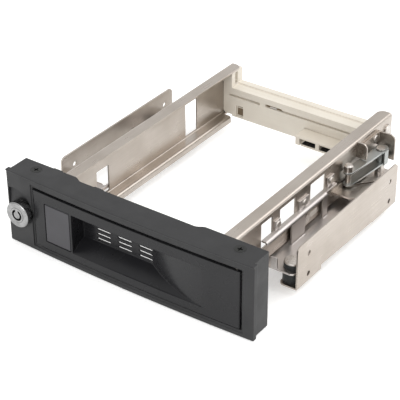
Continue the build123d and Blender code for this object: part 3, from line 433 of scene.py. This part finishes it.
class Finishes:
    """Every finish of the cage, by the record's material slots."""

    def __init__(self) -> None:
        """Makes the materials once."""
        made = [
            # Satin black front shell: a fine grey-black grain that keeps its edges readable.
            MouldedPlastic("textured_black_abs", "262627", "2f2f30", roughness=0.5, shine=0.34),
            # Glossier black door: soft reflections run along the finger pocket's sweep.
            MouldedPlastic("glossy_black_abs", "1a1a1c", "212123", roughness=0.26,
                           texture_mm=0.8, texture_depth_mm=0.005, shine=0.28),
            # Bare plate beside the pocket: a shade greyer and flatter than the door.
            MouldedPlastic("bare_label_plate", "363539", "3f3e42", roughness=0.42,
                           texture_mm=0.5, texture_depth_mm=0.01),
            # Cream crossmember: warm plastic with soft mould marks.
            MouldedPlastic("cream_abs", "dcd5c9", "d0c8ba", roughness=0.42,
                           texture_mm=0.5, texture_depth_mm=0.01),
            # Ivory drive connector: a shade glossier than the crossmember that holds it.
            MouldedPlastic("ivory_nylon", "d8d0c3", "ccc3b4", roughness=0.36,
                           texture_mm=0.4, texture_depth_mm=0.008),
            # Black ports on the board, and painted shade in the drive connector's slots.
            MouldedPlastic("black_ports_and_painted_slot_shade", "161617", "202022", roughness=0.38,
                           texture_mm=0.4, texture_depth_mm=0.01),
            # Painted shade in the carrier's recess and groove: brown patches on the cream wall.
            MouldedPlastic("brown_painted_recess_shade", "75644e", "5c4e3c", roughness=0.45,
                           texture_mm=0.4, texture_depth_mm=0.02),
            # Ceramic capacitors: small dull tan blocks on the green board.
            MouldedPlastic("chip_ceramic", "8a7458", "6f5c45", roughness=0.4,
                           texture_mm=0.3, texture_depth_mm=0.01),
            # Nickel plating on rolled sheet: broad soft reflections with faint roll lines.
            PlatedSheet("nickel_plated_sheet", "b8b0a8", "aba299", roughness=0.32),
            # Same plating, painted lighter: painted light on the floor between rail and bracket.
            PlatedSheet("painted_light_nickel_sheet", "cbc6c3", "bfb9b5", roughness=0.4),
            # Duller grey zinc on the linkage.
            PlatedSheet("zinc_plated_linkage", "adafad", "9b9e9d", roughness=0.36),
            # Plated screws, rivets and studs: small bright highlights on the duller sheet.
            SmallMetal("bright_plated_steel", "c8c3be", "a8a29b", roughness=0.3),
            # Black oxide on the bezel's screws: nearly black, with a dull gleam on the rim.
            SmallMetal("black_oxide_steel", "262726", "323230", roughness=0.42, metallic=0.6),
            # Satin chrome on the die-cast lock: the clearest reflections on the front.
            SmallMetal("satin_chrome", "9f9f9f", "858585", roughness=0.22),
            # Painted shade in the key slot: a nearly black ring below the plug's face.
            SmallMetal("painted_key_slot_shade", "0d0d0e", "171717", roughness=0.5, metallic=0.3),
            # Solder on the pins' ends: soft silver beads.
            SmallMetal("solder", "b9bcbd", "9fa2a3", roughness=0.3),
            # Thin gold plating on the contacts: a warm glint in dark slots.
            SmallMetal("gold_flash_contacts", "c9a35c", "b08a48", roughness=0.25),
            # Rubber mounts: matt black between bright steel.
            BlackRubber("moulded_rubber", "15191a", "2a2e2e"),
            # Solder mask on the board: glossy green with paler runs.
            SolderMask("green_solder_mask", "1f4a2b", "2f6a3c"),
        ]
        self.by_name = {finish.name: finish.make() for finish in made}
        self.slots = {
            "bezel_abs": "textured_black_abs", "door_abs": "glossy_black_abs",
            "label_plate": "bare_label_plate", "nickel_steel": "nickel_plated_sheet",
            "rivet_steel": "bright_plated_steel", "plated_screw": "bright_plated_steel",
            "black_screw": "black_oxide_steel", "zinc_steel": "zinc_plated_linkage",
            "lock_chrome": "satin_chrome", "cream_abs": "cream_abs",
            "connector_plastic": "ivory_nylon", "port_plastic": "black_ports_and_painted_slot_shade",
            "circuit_board": "green_solder_mask", "mount_rubber": "moulded_rubber",
        }

    def for_slot(self, slot: str) -> bpy.types.Material:
        """The material for one of the record's slots."""
        return self.by_name[self.slots[slot]]


def plain_object(name: str, mesh: bpy.types.Mesh) -> bpy.types.Object:
    """Adds a new object to the scene.

    Args:
        name: its name.
        mesh: its mesh.

    Returns:
        The object, at the origin.
    """
    made = bpy.data.objects.new(name, mesh)
    bpy.context.scene.collection.objects.link(made)
    return made


def baked(source: bpy.types.Object) -> bpy.types.Object:
    """Turns an object with modifiers into a plain mesh under the same name.

    Args:
        source: the object whose evaluated mesh is taken. It is removed.

    Returns:
        The plain object.
    """
    graph = bpy.context.evaluated_depsgraph_get()
    mesh = bpy.data.meshes.new_from_object(source.evaluated_get(graph))
    name = source.name
    source.modifiers.clear()
    bpy.data.objects.remove(source)
    mesh.name = name
    return plain_object(name, mesh)


def shade_by_angle(mesh: bpy.types.Mesh, degrees: float) -> None:
    """Shades a mesh smooth, apart from its sharp edges.

    Args:
        mesh: the mesh.
        degrees: angle above which an edge is sharp.
    """
    for face in mesh.polygons:
        face.use_smooth = True
    mesh.set_sharp_from_angle(angle=math.radians(degrees))


class Unit(Enum):
    """What a row repeats."""

    PAD = "pad"
    DOME = "dome"
    RING = "ring"


class Recipe:
    """A Geometry Nodes tree with named inputs, which is run once and becomes a plain mesh."""

    def __init__(self, name: str) -> None:
        """Starts a tree that has only its output.

        Args:
            name: the tree's name.
        """
        self.tree = bpy.data.node_groups.new(name, "GeometryNodeTree")
        self.tree.interface.new_socket(
            "Geometry", in_out="OUTPUT", socket_type="NodeSocketGeometry"
        )
        self.inlet = self.tree.nodes.new("NodeGroupInput")
        self.outlet = self.tree.nodes.new("NodeGroupOutput")
        self.identifiers: dict[str, str] = {}

    def size(self, label: str, kind: str = "Float") -> bpy.types.NodeSocket:
        """Adds a named input.

        Args:
            label: the input's name.
            kind: what it takes, such as Float, Int or Vector.

        Returns:
            The input's socket inside the tree.
        """
        item = self.tree.interface.new_socket(
            label, in_out="INPUT", socket_type="NodeSocket" + kind
        )
        self.identifiers[label] = item.identifier
        return self.inlet.outputs[label]

    def close(self, geometry: bpy.types.NodeSocket) -> None:
        """Ends the tree in real geometry with its material.

        Args:
            geometry: what the tree has made.
        """
        real = add_node(self.tree, "GeometryNodeRealizeInstances", {0: geometry})
        painted = add_node(
            self.tree, "GeometryNodeSetMaterial",
            {"Geometry": real.outputs[0], "Material": self.size("Material", "Material")},
        )
        self.tree.links.new(painted.outputs[0], self.outlet.inputs[0])

    def run(self, name: str, material: bpy.types.Material, **values) -> bpy.types.Object:
        """Runs the tree.

        Args:
            name: the new piece's name.
            material: its finish, for the tree's Set Material.
            values: the other named inputs.

        Returns:
            The piece as a plain mesh.
        """
        holder = plain_object(name, bpy.data.meshes.new(name))
        recipe = holder.modifiers.new("recipe", "NODES")
        recipe.node_group = self.tree
        for label, value in {**values, "Material": material}.items():
            recipe[self.identifiers[label]] = value
        return baked(holder)


class RowRecipe(Recipe):
    """Equal units at equal steps: contact pads, solder domes or thread rings."""

    def __init__(self, unit: Unit) -> None:
        """Builds the tree.

        Args:
            unit: what it repeats.
        """
        super().__init__(f"row_of_{unit.value}s")
        line = add_node(
            self.tree, "GeometryNodeMeshLine",
            {"Count": self.size("Count", "Int"), "Start Location": self.size("First", "Vector"),
             "Offset": self.size("Step", "Vector")}, mode="OFFSET",
        )
        values = {"Points": line.outputs[0]}
        if unit is Unit.RING:
            values["Instance"] = self.ring()
            values["Rotation"] = self.size("Turn", "Vector")
        else:
            values["Instance"] = self.pad() if unit is Unit.PAD else self.dome()
            values["Scale"] = self.size("Size", "Vector")
        placed = add_node(self.tree, "GeometryNodeInstanceOnPoints", values)
        self.close(placed.outputs[0])

    def pad(self) -> bpy.types.NodeSocket:
        """A block one unit wide, which Size brings to its real width, depth and height."""
        return add_node(self.tree, "GeometryNodeMeshCube").outputs[0]

    def dome(self) -> bpy.types.NodeSocket:
        """A ball one unit wide, which Size brings to its real width, depth and height."""
        ball = {"Radius": 0.5, "Subdivisions": 3}
        return add_node(self.tree, "GeometryNodeMeshIcoSphere", ball).outputs[0]

    def ring(self) -> bpy.types.NodeSocket:
        """Makes a ring of round wire, as a thread's crest looks from the side.

        Returns:
            The ring, flat at the origin.
        """
        path = add_node(
            self.tree, "GeometryNodeCurvePrimitiveCircle",
            {"Resolution": 48, "Radius": self.size("Radius")},
        )
        wire = add_node(
            self.tree, "GeometryNodeCurvePrimitiveCircle",
            {"Resolution": 6, "Radius": self.size("Wire")},
        )
        return add_node(
            self.tree, "GeometryNodeCurveToMesh",
            {"Curve": path.outputs[0], "Profile Curve": wire.outputs[0]},
        ).outputs[0]


class ChipRecipe(Recipe):
    """Small chips scattered over an upright rectangle of a board, each square to it."""

    def __init__(self) -> None:
        """Builds the tree."""
        super().__init__("scattered_chips")
        sheet = add_node(
            self.tree, "GeometryNodeMeshGrid",
            {"Size X": self.size("Width"), "Size Y": self.size("Height"), "Vertices X": 2,
             "Vertices Y": 2},
        )
        upright = add_node(
            self.tree, "GeometryNodeTransform",
            {"Geometry": sheet.outputs[0], "Translation": self.size("Middle", "Vector"),
             "Rotation": QUARTER_TURN},
        )
        points = add_node(
            self.tree, "GeometryNodeDistributePointsOnFaces",
            {"Mesh": upright.outputs[0], "Distance Min": self.size("Spacing"),
             "Density Max": self.size("Density"), "Seed": self.size("Seed", "Int")},
            distribute_method="POISSON",
        )
        chip = add_node(self.tree, "GeometryNodeMeshCube", {"Size": self.size("Chip", "Vector")})
        placed = add_node(
            self.tree, "GeometryNodeInstanceOnPoints",
            {"Points": points.outputs["Points"], "Instance": chip.outputs[0]},
        )
        self.close(placed.outputs[0])


def at_mm(x: float, y: float, z: float) -> tuple[float, float, float]:
    """A place in millimetres as metres."""
    return (x * MM, y * MM, z * MM)


def seat(node: str, x: float, y: float, z: float) -> tuple[float, float, float]:
    """A place in metres, from millimetres measured from a node's lowest corner."""
    return tuple(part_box(node)[0] + Vector(at_mm(x, y, z)))


@dataclass
class Assembly:
    """Base of the sub-assemblies: the frame, the finishes and the ways to dress a node."""

    frame: dict
    finishes: Finishes
    slots: dict[str, str] = field(init=False)

    def __post_init__(self) -> None:
        """Reads which material slot each node has in the record."""
        self.slots = {p["node"]: p["material_slot"] for p in self.frame["record"]["subparts"]}

    def body_of(self, node: str) -> str:
        """Name of the body that a node belongs to."""
        groups = self.frame["record"]["behaviour"]["bodies"]
        return next(body for body, members in groups.items() if node in members)

    def finish_node(self, node: str) -> None:
        """Gives a CAD node that stays visible the finish of its slot.

        Args:
            node: the CAD node.
        """
        shown = self.frame["nodes"][node]
        material = self.finishes.for_slot(self.slots[node])
        if not shown.material_slots:
            shown.data.materials.append(material)
        for slot in shown.material_slots:
            slot.material = material
        LOG.info("%s keeps its solid and is finished", node)

    def adopt(self, piece: bpy.types.Object, body: str, slot: str,
              material: bpy.types.Material | None = None) -> None:
        """Dresses a new piece and lets it ride on a body.

        Args:
            piece: the finished mesh, in place.
            body: the CAD body that carries it.
            slot: the record's material slot that it belongs to.
            material: a finish other than the slot's own.
        """
        finish = material or self.finishes.for_slot(slot)
        if list(piece.data.materials) != [finish]:
            piece.data.materials.clear()
            piece.data.materials.append(finish)
        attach(piece, body)
        LOG.info("%s rides on %s", piece.name, body)

    def eased(self, node: str, width_mm: float, segments: int = 2,
              keep_sharp: Callable[[Vector], bool] | None = None,
              material: bpy.types.Material | None = None) -> None:
        """Replaces a node by a copy whose sharp edges are eased.

        Args:
            node: the CAD node.
            width_mm: width of the easing.
            segments: number of faces across it.
            keep_sharp: tells by an edge's middle whether that edge stays as it is.
            material: a finish other than the slot's own.
        """
        mesh = self.frame["nodes"][node].data.copy()
        work = bmesh.new()
        work.from_mesh(mesh)
        bmesh.ops.remove_doubles(work, verts=work.verts, dist=WELD_MM * MM)
        bmesh.ops.dissolve_limit(
            work, angle_limit=math.radians(FLAT_DEGREES), verts=work.verts, edges=work.edges
        )
        weight = work.edges.layers.float.new("bevel_weight_edge")
        for edge in work.edges:
            middle = (edge.verts[0].co + edge.verts[1].co) / 2
            sharp = edge.calc_face_angle(0.0) > math.radians(EASED_DEGREES)
            skipped = keep_sharp is not None and keep_sharp(middle)
            edge[weight] = 1.0 if sharp and not skipped else 0.0
        work.to_mesh(mesh)
        work.free()
        piece = plain_object("eased_" + node, mesh)
        easing = piece.modifiers.new("easing", "BEVEL")
        easing.width = width_mm * MM
        easing.segments = segments
        easing.limit_method = "WEIGHT"
        easing.use_clamp_overlap = False
        easing.miter_outer = "MITER_ARC"
        piece = baked(piece)
        shade_by_angle(piece.data, SHEET_DEGREES)
        level = piece.modifiers.new("flat_faces_stay_flat", "WEIGHTED_NORMAL")
        level.keep_sharp = True
        piece = baked(piece)
        self.adopt(piece, self.body_of(node), self.slots[node], material)
        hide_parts(node)


@dataclass
class FrontShell(Assembly):
    """Black bezel with its screws and the key lock."""

    edge_mm: float = 0.3
    collar_edge_mm: float = 0.25
    edge_segments: int = 3
    scoop_mm: float = 16.0
    barrel_radius_mm: float = 4.85
    nut_to_thread_mm: float = 0.2
    thread_pitch_mm: float = 0.55
    thread_turns: int = 4
    crest_share: float = 0.3
    key_slot_radius_mm: float = 2.5
    key_slot_width_mm: float = 1.15
    shade_ring_depth_mm: float = 1.6
    lock_middle: Vector = field(init=False)

    def __post_init__(self) -> None:
        """Reads the nodes' slots and where the lock is."""
        super().__post_init__()
        low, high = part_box("lock_body")
        self.lock_middle = (low + high) / 2

    def near_lock(self, middle: Vector) -> bool:
        """True in the scoop around the lock, whose shallow rim stays crisp."""
        across = math.hypot(middle.x - self.lock_middle.x, middle.z - self.lock_middle.z)
        return across < self.scoop_mm * MM

    def on_lock_axis(self, y: float) -> tuple[float, float, float]:
        """The point of the lock's axis at that y, in metres."""
        return (self.lock_middle.x, y, self.lock_middle.z)

    def threads(self) -> None:
        """Crests of the lock barrel's thread, where it shows behind the nut."""
        nut_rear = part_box("lock_nut")[1].y
        crests = RowRecipe(Unit.RING).run(
            "lock_barrel_thread", self.finishes.for_slot("lock_chrome"), Count=self.thread_turns,
            First=self.on_lock_axis(nut_rear + self.nut_to_thread_mm * MM),
            Step=at_mm(0, self.thread_pitch_mm, 0), Radius=self.barrel_radius_mm * MM,
            Wire=self.crest_share * self.thread_pitch_mm * MM, Turn=QUARTER_TURN,
        )
        self.adopt(crests, "cage", "lock_chrome")

    def key_slot(self) -> None:
        """Painted shade: a nearly black ring that closes the round key slot below the plug's face."""
        plug_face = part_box("lock_plug")[0].y
        dark = self.finishes.by_name["painted_key_slot_shade"]
        # Painted shade: this ring stands in for the dark depth of the key slot.
        shade_ring = RowRecipe(Unit.RING).run(
            "key_slot_painted_shade", dark, Count=1,
            First=self.on_lock_axis(plug_face + self.shade_ring_depth_mm * MM),
            Radius=self.key_slot_radius_mm * MM, Wire=self.key_slot_width_mm / 2 * MM,
            Turn=QUARTER_TURN,
        )
        shade_by_angle(shade_ring.data, ROUND_DEGREES)
        self.adopt(shade_ring, "lock_core", "lock_chrome", dark)

    def dress(self) -> None:
        """Finishes the bezel, its screws and the lock."""
        self.eased("front_bezel", self.edge_mm, self.edge_segments, self.near_lock)
        self.threads()
        self.key_slot()
        self.eased("lock_body", self.collar_edge_mm, self.edge_segments)
        for node in ("bezel_screws", "hinge_pins", "lock_nut", "lock_plug", "lock_cam", "cam_nut"):
            self.finish_node(node)


@dataclass
class Door(Assembly):
    """Door with its finger pocket, bare label plate and crank."""

    edge_mm: float = 0.25
    label_edge_mm: float = 0.2

    def dress(self) -> None:
        """Finishes the door's pieces."""
        self.eased("door_panel", self.edge_mm)
        self.eased("door_label_plate", self.label_edge_mm)
        for node in ("door_crank", "crank_screws", "crank_pin"):
            self.finish_node(node)


@dataclass
class SteelFrame(Assembly):
    """Rails, foot plates, brackets, rivets and rubber mounts."""

    edge_mm: float = 0.16

    def dress(self) -> None:
        """Finishes the sheet metal and the mounts."""
        # Foot plates take a paler copy of the plating: painted light on the floor that sits in shade.
        painted_light = self.finishes.by_name["painted_light_nickel_sheet"]
        for side in ("left", "right"):
            for node in ("rail", "bracket"):
                self.eased(f"{side}_{node}", self.edge_mm)
            self.eased(f"{side}_foot_plate", self.edge_mm, material=painted_light)
            for place in ("front", "rear"):
                self.finish_node(f"{side}_{place}_grommet")
                self.finish_node(f"{side}_{place}_stud")
        self.finish_node("rail_rivets")


@dataclass(frozen=True)
class ContactRow:
    """Gold pads side by side on a tongue, in millimetres from its node's lowest corner."""

    name: str
    node: str
    middle_x: float
    count: int
    pitch: float
    front: float
    rear: float
    surface: float

    def run(self, recipe: RowRecipe, material: bpy.types.Material, pad_width: float,
            pad_thickness: float) -> bpy.types.Object:
        """Lays the pads.

        Args:
            recipe: the row of pads.
            material: their plating.
            pad_width: width of a pad.
            pad_thickness: its thickness.

        Returns:
            The pads as one piece.
        """
        first = self.middle_x - (self.count - 1) * self.pitch / 2
        return recipe.run(
            self.name, material, Count=self.count,
            First=seat(self.node, first, (self.front + self.rear) / 2, self.surface),
            Step=at_mm(self.pitch, 0, 0),
            Size=at_mm(pad_width, self.rear - self.front, pad_thickness),
        )


@dataclass(frozen=True)
class RecessPlate:
    """Thin plate in a recess, mostly painted shade: two opposite corners, in mm from its node's lowest
    corner.
    """

    name: str
    node: str
    low: tuple[float, float, float]
    high: tuple[float, float, float]
    # By default a plate is painted shade in black.
    finish: str = "black_ports_and_painted_slot_shade"

    def run(self, recipe: RowRecipe, material: bpy.types.Material) -> bpy.types.Object:
        """Lays the plate, as a row of one.

        Args:
            recipe: the row of pads.
            material: the plate's finish.

        Returns:
            The plate.
        """
        middle = [(a + b) / 2 for a, b in zip(self.low, self.high)]
        size = [b - a for a, b in zip(self.low, self.high)]
        return recipe.run(
            self.name, material, Count=1, First=seat(self.node, *middle), Step=at_mm(0, 0, 0),
            Size=at_mm(*size),
        )


@dataclass
class RearEnd(Assembly):
    """Cream crossmember with the backplane, its connectors and screws."""

    edge_mm: float = 0.25
    pad_width_mm: float = 0.7
    pad_thickness_mm: float = 0.12
    joint_pitch_mm: float = 1.27
    joint_count: int = 22
    joint_size_mm: float = 0.9
    joint_depth_share: float = 0.7
    edge_to_joints_mm: float = 49.5
    foot_to_joints_mm: float = 0.8
    chip_mm: tuple[float, float, float] = (1.4, 0.7, 0.9)
    chip_strip_mm: tuple[float, float] = (52.0, 2.0)
    top_to_strip_mm: float = 2.6
    chip_spacing_mm: float = 4.5
    chips_per_square_metre: float = 400000.0
    chip_seed: int = 4
    contact_rows: tuple[ContactRow, ...] = (
        ContactRow("drive_signal_contacts", "drive_connector", middle_x=7.9, count=7, pitch=1.0,
                   front=5.0, rear=8.0, surface=3.15),
        ContactRow("drive_power_contacts", "drive_connector", middle_x=26.0, count=15, pitch=1.2,
                   front=5.0, rear=8.0, surface=3.15),
        ContactRow("data_port_contacts", "data_port", middle_x=7.0, count=7, pitch=1.27,
                   front=1.3, rear=7.5, surface=4.1),
        ContactRow("power_port_contacts", "power_port", middle_x=12.0, count=15, pitch=1.27,
                   front=1.3, rear=7.5, surface=4.1),
    )
    recess_plates: tuple[RecessPlate, ...] = (
        # Painted shade: dark floor and back plates in the drive connector's two slots.
        RecessPlate("signal_slot_painted_shade_floor", "drive_connector", (3.85, 0.5, 1.2), (12.95, 7.95, 1.28)),
        RecessPlate("signal_slot_painted_shade_back", "drive_connector", (2.85, 7.9, 1.28), (12.95, 8.0, 4.35)),
        RecessPlate("power_slot_painted_shade_floor", "drive_connector", (15.45, 0.5, 1.2), (35.55, 7.95, 1.28)),
        RecessPlate("power_slot_painted_shade_back", "drive_connector", (15.45, 7.9, 1.28), (36.55, 8.0, 4.35)),
        # Painted shade: brown plates at the back of the carrier's recess and of its long groove.
        RecessPlate("recess_painted_shade_back", "rear_carrier", (8.9, 1.5, 1.4), (13.0, 1.6, 5.8),
               "brown_painted_recess_shade"),
        RecessPlate("recess_painted_shade_top", "rear_carrier", (8.9, 1.5, 6.5), (12.3, 1.6, 7.3),
               "brown_painted_recess_shade"),
        RecessPlate("groove_painted_shade", "rear_carrier", (28.4, 1.3, 12.75), (39.1, 1.4, 14.45),
               "brown_painted_recess_shade"),
        # The clip in the groove is a plated part, not shade.
        RecessPlate("groove_clip", "rear_carrier", (31.4, 0.6, 13.1), (35.6, 1.3, 13.8),
               "bright_plated_steel"),
    )

    def place_recess_shade_and_clip(self) -> None:
        """Painted shade plates in the connector's slots and in the carrier's recess and groove, and the
        plated clip in the groove.
        """
        recipe = RowRecipe(Unit.PAD)
        for recess_plate in self.recess_plates:
            material = self.finishes.by_name[recess_plate.finish]
            self.adopt(recess_plate.run(recipe, material), "cage", "connector_plastic", material)

    def contacts(self) -> None:
        """Gold pads of the drive connector and of the two rear ports."""
        recipe = RowRecipe(Unit.PAD)
        gold = self.finishes.by_name["gold_flash_contacts"]
        for row in self.contact_rows:
            pads = row.run(recipe, gold, self.pad_width_mm, self.pad_thickness_mm)
            self.adopt(pads, "cage", "plated_screw", gold)

    def solder_joints(self) -> None:
        """Soldered ends of the drive connector's pins, low on the back of the board."""
        size = self.joint_size_mm
        low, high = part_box("backplane_board")
        first_x = low.x + self.edge_to_joints_mm * MM
        solder = self.finishes.by_name["solder"]
        joints = RowRecipe(Unit.DOME).run(
            "solder_joints", solder, Count=self.joint_count,
            First=(first_x, high.y, low.z + self.foot_to_joints_mm * MM),
            Step=at_mm(self.joint_pitch_mm, 0, 0),
            Size=at_mm(size, self.joint_depth_share * size, size),
        )
        shade_by_angle(joints.data, ROUND_DEGREES)
        self.adopt(joints, "cage", "plated_screw", solder)

    def chips(self) -> None:
        """Small capacitors on the free strip above the ports."""
        ceramic = self.finishes.by_name["chip_ceramic"]
        width, height = self.chip_strip_mm
        low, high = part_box("backplane_board")
        capacitors = ChipRecipe().run(
            "board_capacitors", ceramic, Width=width * MM, Height=height * MM,
            Middle=((low.x + high.x) / 2, high.y, high.z - self.top_to_strip_mm * MM),
            Spacing=self.chip_spacing_mm * MM, Density=self.chips_per_square_metre,
            Seed=self.chip_seed, Chip=at_mm(*self.chip_mm),
        )
        self.adopt(capacitors, "cage", "circuit_board", ceramic)

    def dress(self) -> None:
        """Finishes the rear end."""
        self.place_recess_shade_and_clip()
        self.contacts()
        self.solder_joints()
        self.chips()
        self.eased("rear_carrier", self.edge_mm)
        for node in ("carrier_screws", "backplane_board", "board_screws", "drive_connector",
                     "data_port", "power_port"):
            self.finish_node(node)


@dataclass
class EjectLinkage(Assembly):
    """Push link, lever, arm and pins at the right rear."""

    edge_mm: float = 0.12

    def dress(self) -> None:
        """Finishes the linkage."""
        for node in ("push_link", "eject_lever", "eject_arm", "pivot_bracket"):
            self.eased(node, self.edge_mm)
        for node in ("link_guides", "lever_pivot_pin", "cam_pin", "cam_pin_cap"):
            self.finish_node(node)


@dataclass(frozen=True)
class Lamp:
    """One softbox, by its place and width in metres and its power in watts."""

    name: str
    place: tuple[float, float, float]
    size: float
    power: float

    def hang(self, target: Vector) -> None:
        """Hangs the lamp and turns it to a point.

        Args:
            target: the point.
        """
        data = bpy.data.lights.new(self.name, "AREA")
        data.shape = "SQUARE"
        data.size = self.size
        data.energy = self.power
        lamp = bpy.data.objects.new(self.name, data)
        bpy.context.scene.collection.objects.link(lamp)
        lamp.location = self.place
        lamp.rotation_mode = "QUATERNION"
        lamp.rotation_quaternion = (target - lamp.location).to_track_quat("-Z", "Y")


@dataclass
class Studio:
    """Camera, softboxes, pale floor and white surroundings, in degrees and metres."""

    azimuth: float = 35.35
    elevation: float = 32.15
    roll: float = -0.22
    place: tuple[float, float, float] = (0.3652, -0.5307, 0.4151)
    focal_px: float = 1456.0
    centre_px: tuple[float, float] = (205.4, 195.7)
    frame_px: float = 400.0
    sensor_mm: float = 36.0
    nearest: float = 0.05
    farthest: float = 50.0
    white: str = "ffffff"
    ambient: float = 0.85
    paper: str = "f4f4f3"
    floor_size: float = 6.0
    floor_height: float = -0.0005
    floor_glow: float = 0.35
    aim: tuple[float, float, float] = (0.0, 0.0, 0.02)
    lamps: tuple[Lamp, ...] = (
        Lamp("key_softbox", (0.2, -1.0, 0.75), size=0.7, power=5.0),
        Lamp("fill_softbox", (0.95, 0.1, 0.5), size=0.7, power=2.0),
        Lamp("back_softbox", (0.5, 0.8, 0.9), size=0.8, power=3.5),
        Lamp("top_softbox", (0.6, 0.1, 1.1), size=0.6, power=2.0),
    )

    def camera(self) -> None:
        """Sets the camera at the photograph's viewpoint."""
        az, el, roll = (math.radians(v) for v in (self.azimuth, self.elevation, self.roll))
        ahead = Vector((-math.sin(az) * math.cos(el), math.cos(az) * math.cos(el), -math.sin(el)))
        right = Vector((math.cos(az), math.sin(az), 0))
        up = right.cross(ahead)
        side = right * math.cos(roll) + up * math.sin(roll)
        top = up * math.cos(roll) - right * math.sin(roll)
        data = bpy.data.cameras.new("photo_camera")
        data.sensor_width = self.sensor_mm
        data.lens = self.focal_px / self.frame_px * self.sensor_mm
        data.shift_x = (self.frame_px / 2 - self.centre_px[0]) / self.frame_px
        data.shift_y = (self.centre_px[1] - self.frame_px / 2) / self.frame_px
        data.clip_start = self.nearest
        data.clip_end = self.farthest
        camera = bpy.data.objects.new("photo_camera", data)
        bpy.context.scene.collection.objects.link(camera)
        turn = Matrix((side, top, -ahead)).transposed().to_4x4()
        camera.matrix_world = Matrix.Translation(self.place) @ turn
        bpy.context.scene.camera = camera

    def surroundings(self) -> None:
        """White for what the camera and reflections see, softer light for the rest."""
        world = bpy.data.worlds.new("white_sweep")
        bpy.context.scene.world = world
        world.use_nodes = True
        tree = world.node_tree
        tree.nodes.clear()
        colour = linear(self.white)
        soft = add_node(tree, "ShaderNodeBackground", {"Color": colour, "Strength": self.ambient})
        white = add_node(tree, "ShaderNodeBackground", {"Color": colour, "Strength": 1.0})
        mix = add_node(
            tree, "ShaderNodeMixShader",
            {0: self.seen_directly(tree), 1: soft.outputs[0], 2: white.outputs[0]},
        )
        out = add_node(tree, "ShaderNodeOutputWorld")
        tree.links.new(mix.outputs[0], out.inputs["Surface"])

    def seen_directly(self, tree: bpy.types.NodeTree) -> bpy.types.NodeSocket:
        """Tells the rays that show the background as it is.

        Args:
            tree: the node tree that asks.

        Returns:
            1 for rays from the camera, a reflection or a transmission, and 0 for the rest.
        """
        rays = add_node(tree, "ShaderNodeLightPath")
        first = add_node(
            tree, "ShaderNodeMath",
            {0: rays.outputs["Is Camera Ray"], 1: rays.outputs["Is Glossy Ray"]},
            operation="MAXIMUM",
        )
        return add_node(
            tree, "ShaderNodeMath",
            {0: first.outputs[0], 1: rays.outputs["Is Transmission Ray"]}, operation="MAXIMUM",
        ).outputs[0]

    def floor(self) -> None:
        """Pale floor that keeps the object's shadow and shows as white elsewhere."""
        half = self.floor_size / 2
        mesh = bpy.data.meshes.new("pale_floor")
        corners = [(x * half, y * half, self.floor_height)
                   for x, y in ((-1, -1), (1, -1), (1, 1), (-1, 1))]
        mesh.from_pydata(corners, [], [(0, 1, 2, 3)])
        material = bpy.data.materials.new("pale_paper")
        material.use_nodes = True
        tree = material.node_tree
        tree.nodes.clear()
        paper = add_node(tree, "ShaderNodeBsdfDiffuse", {"Color": linear(self.paper)})
        glow = add_node(tree, "ShaderNodeEmission", {"Color": linear(self.white)})
        strength = add_node(
            tree, "ShaderNodeMath", {0: self.seen_directly(tree), 1: self.floor_glow},
            operation="MULTIPLY",
        )
        tree.links.new(strength.outputs[0], glow.inputs["Strength"])
        both = add_node(tree, "ShaderNodeAddShader", {0: paper.outputs[0], 1: glow.outputs[0]})
        out = add_node(tree, "ShaderNodeOutputMaterial")
        tree.links.new(both.outputs[0], out.inputs["Surface"])
        sheet = plain_object("pale_floor", mesh)
        sheet.data.materials.append(material)

    def build(self) -> None:
        """Sets up camera, light and floor."""
        self.camera()
        self.surroundings()
        self.floor()
        for lamp in self.lamps:
            lamp.hang(Vector(self.aim))
        bpy.context.scene.view_settings.view_transform = "Standard"


def main() -> None:
    """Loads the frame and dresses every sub-assembly."""
    logging.basicConfig(level=logging.INFO, format="%(message)s")
    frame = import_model()
    finishes = Finishes()
    for kind in (FrontShell, Door, SteelFrame, RearEnd, EjectLinkage):
        kind(frame, finishes).dress()
    Studio().build()


if __name__ == "__main__":
    main()
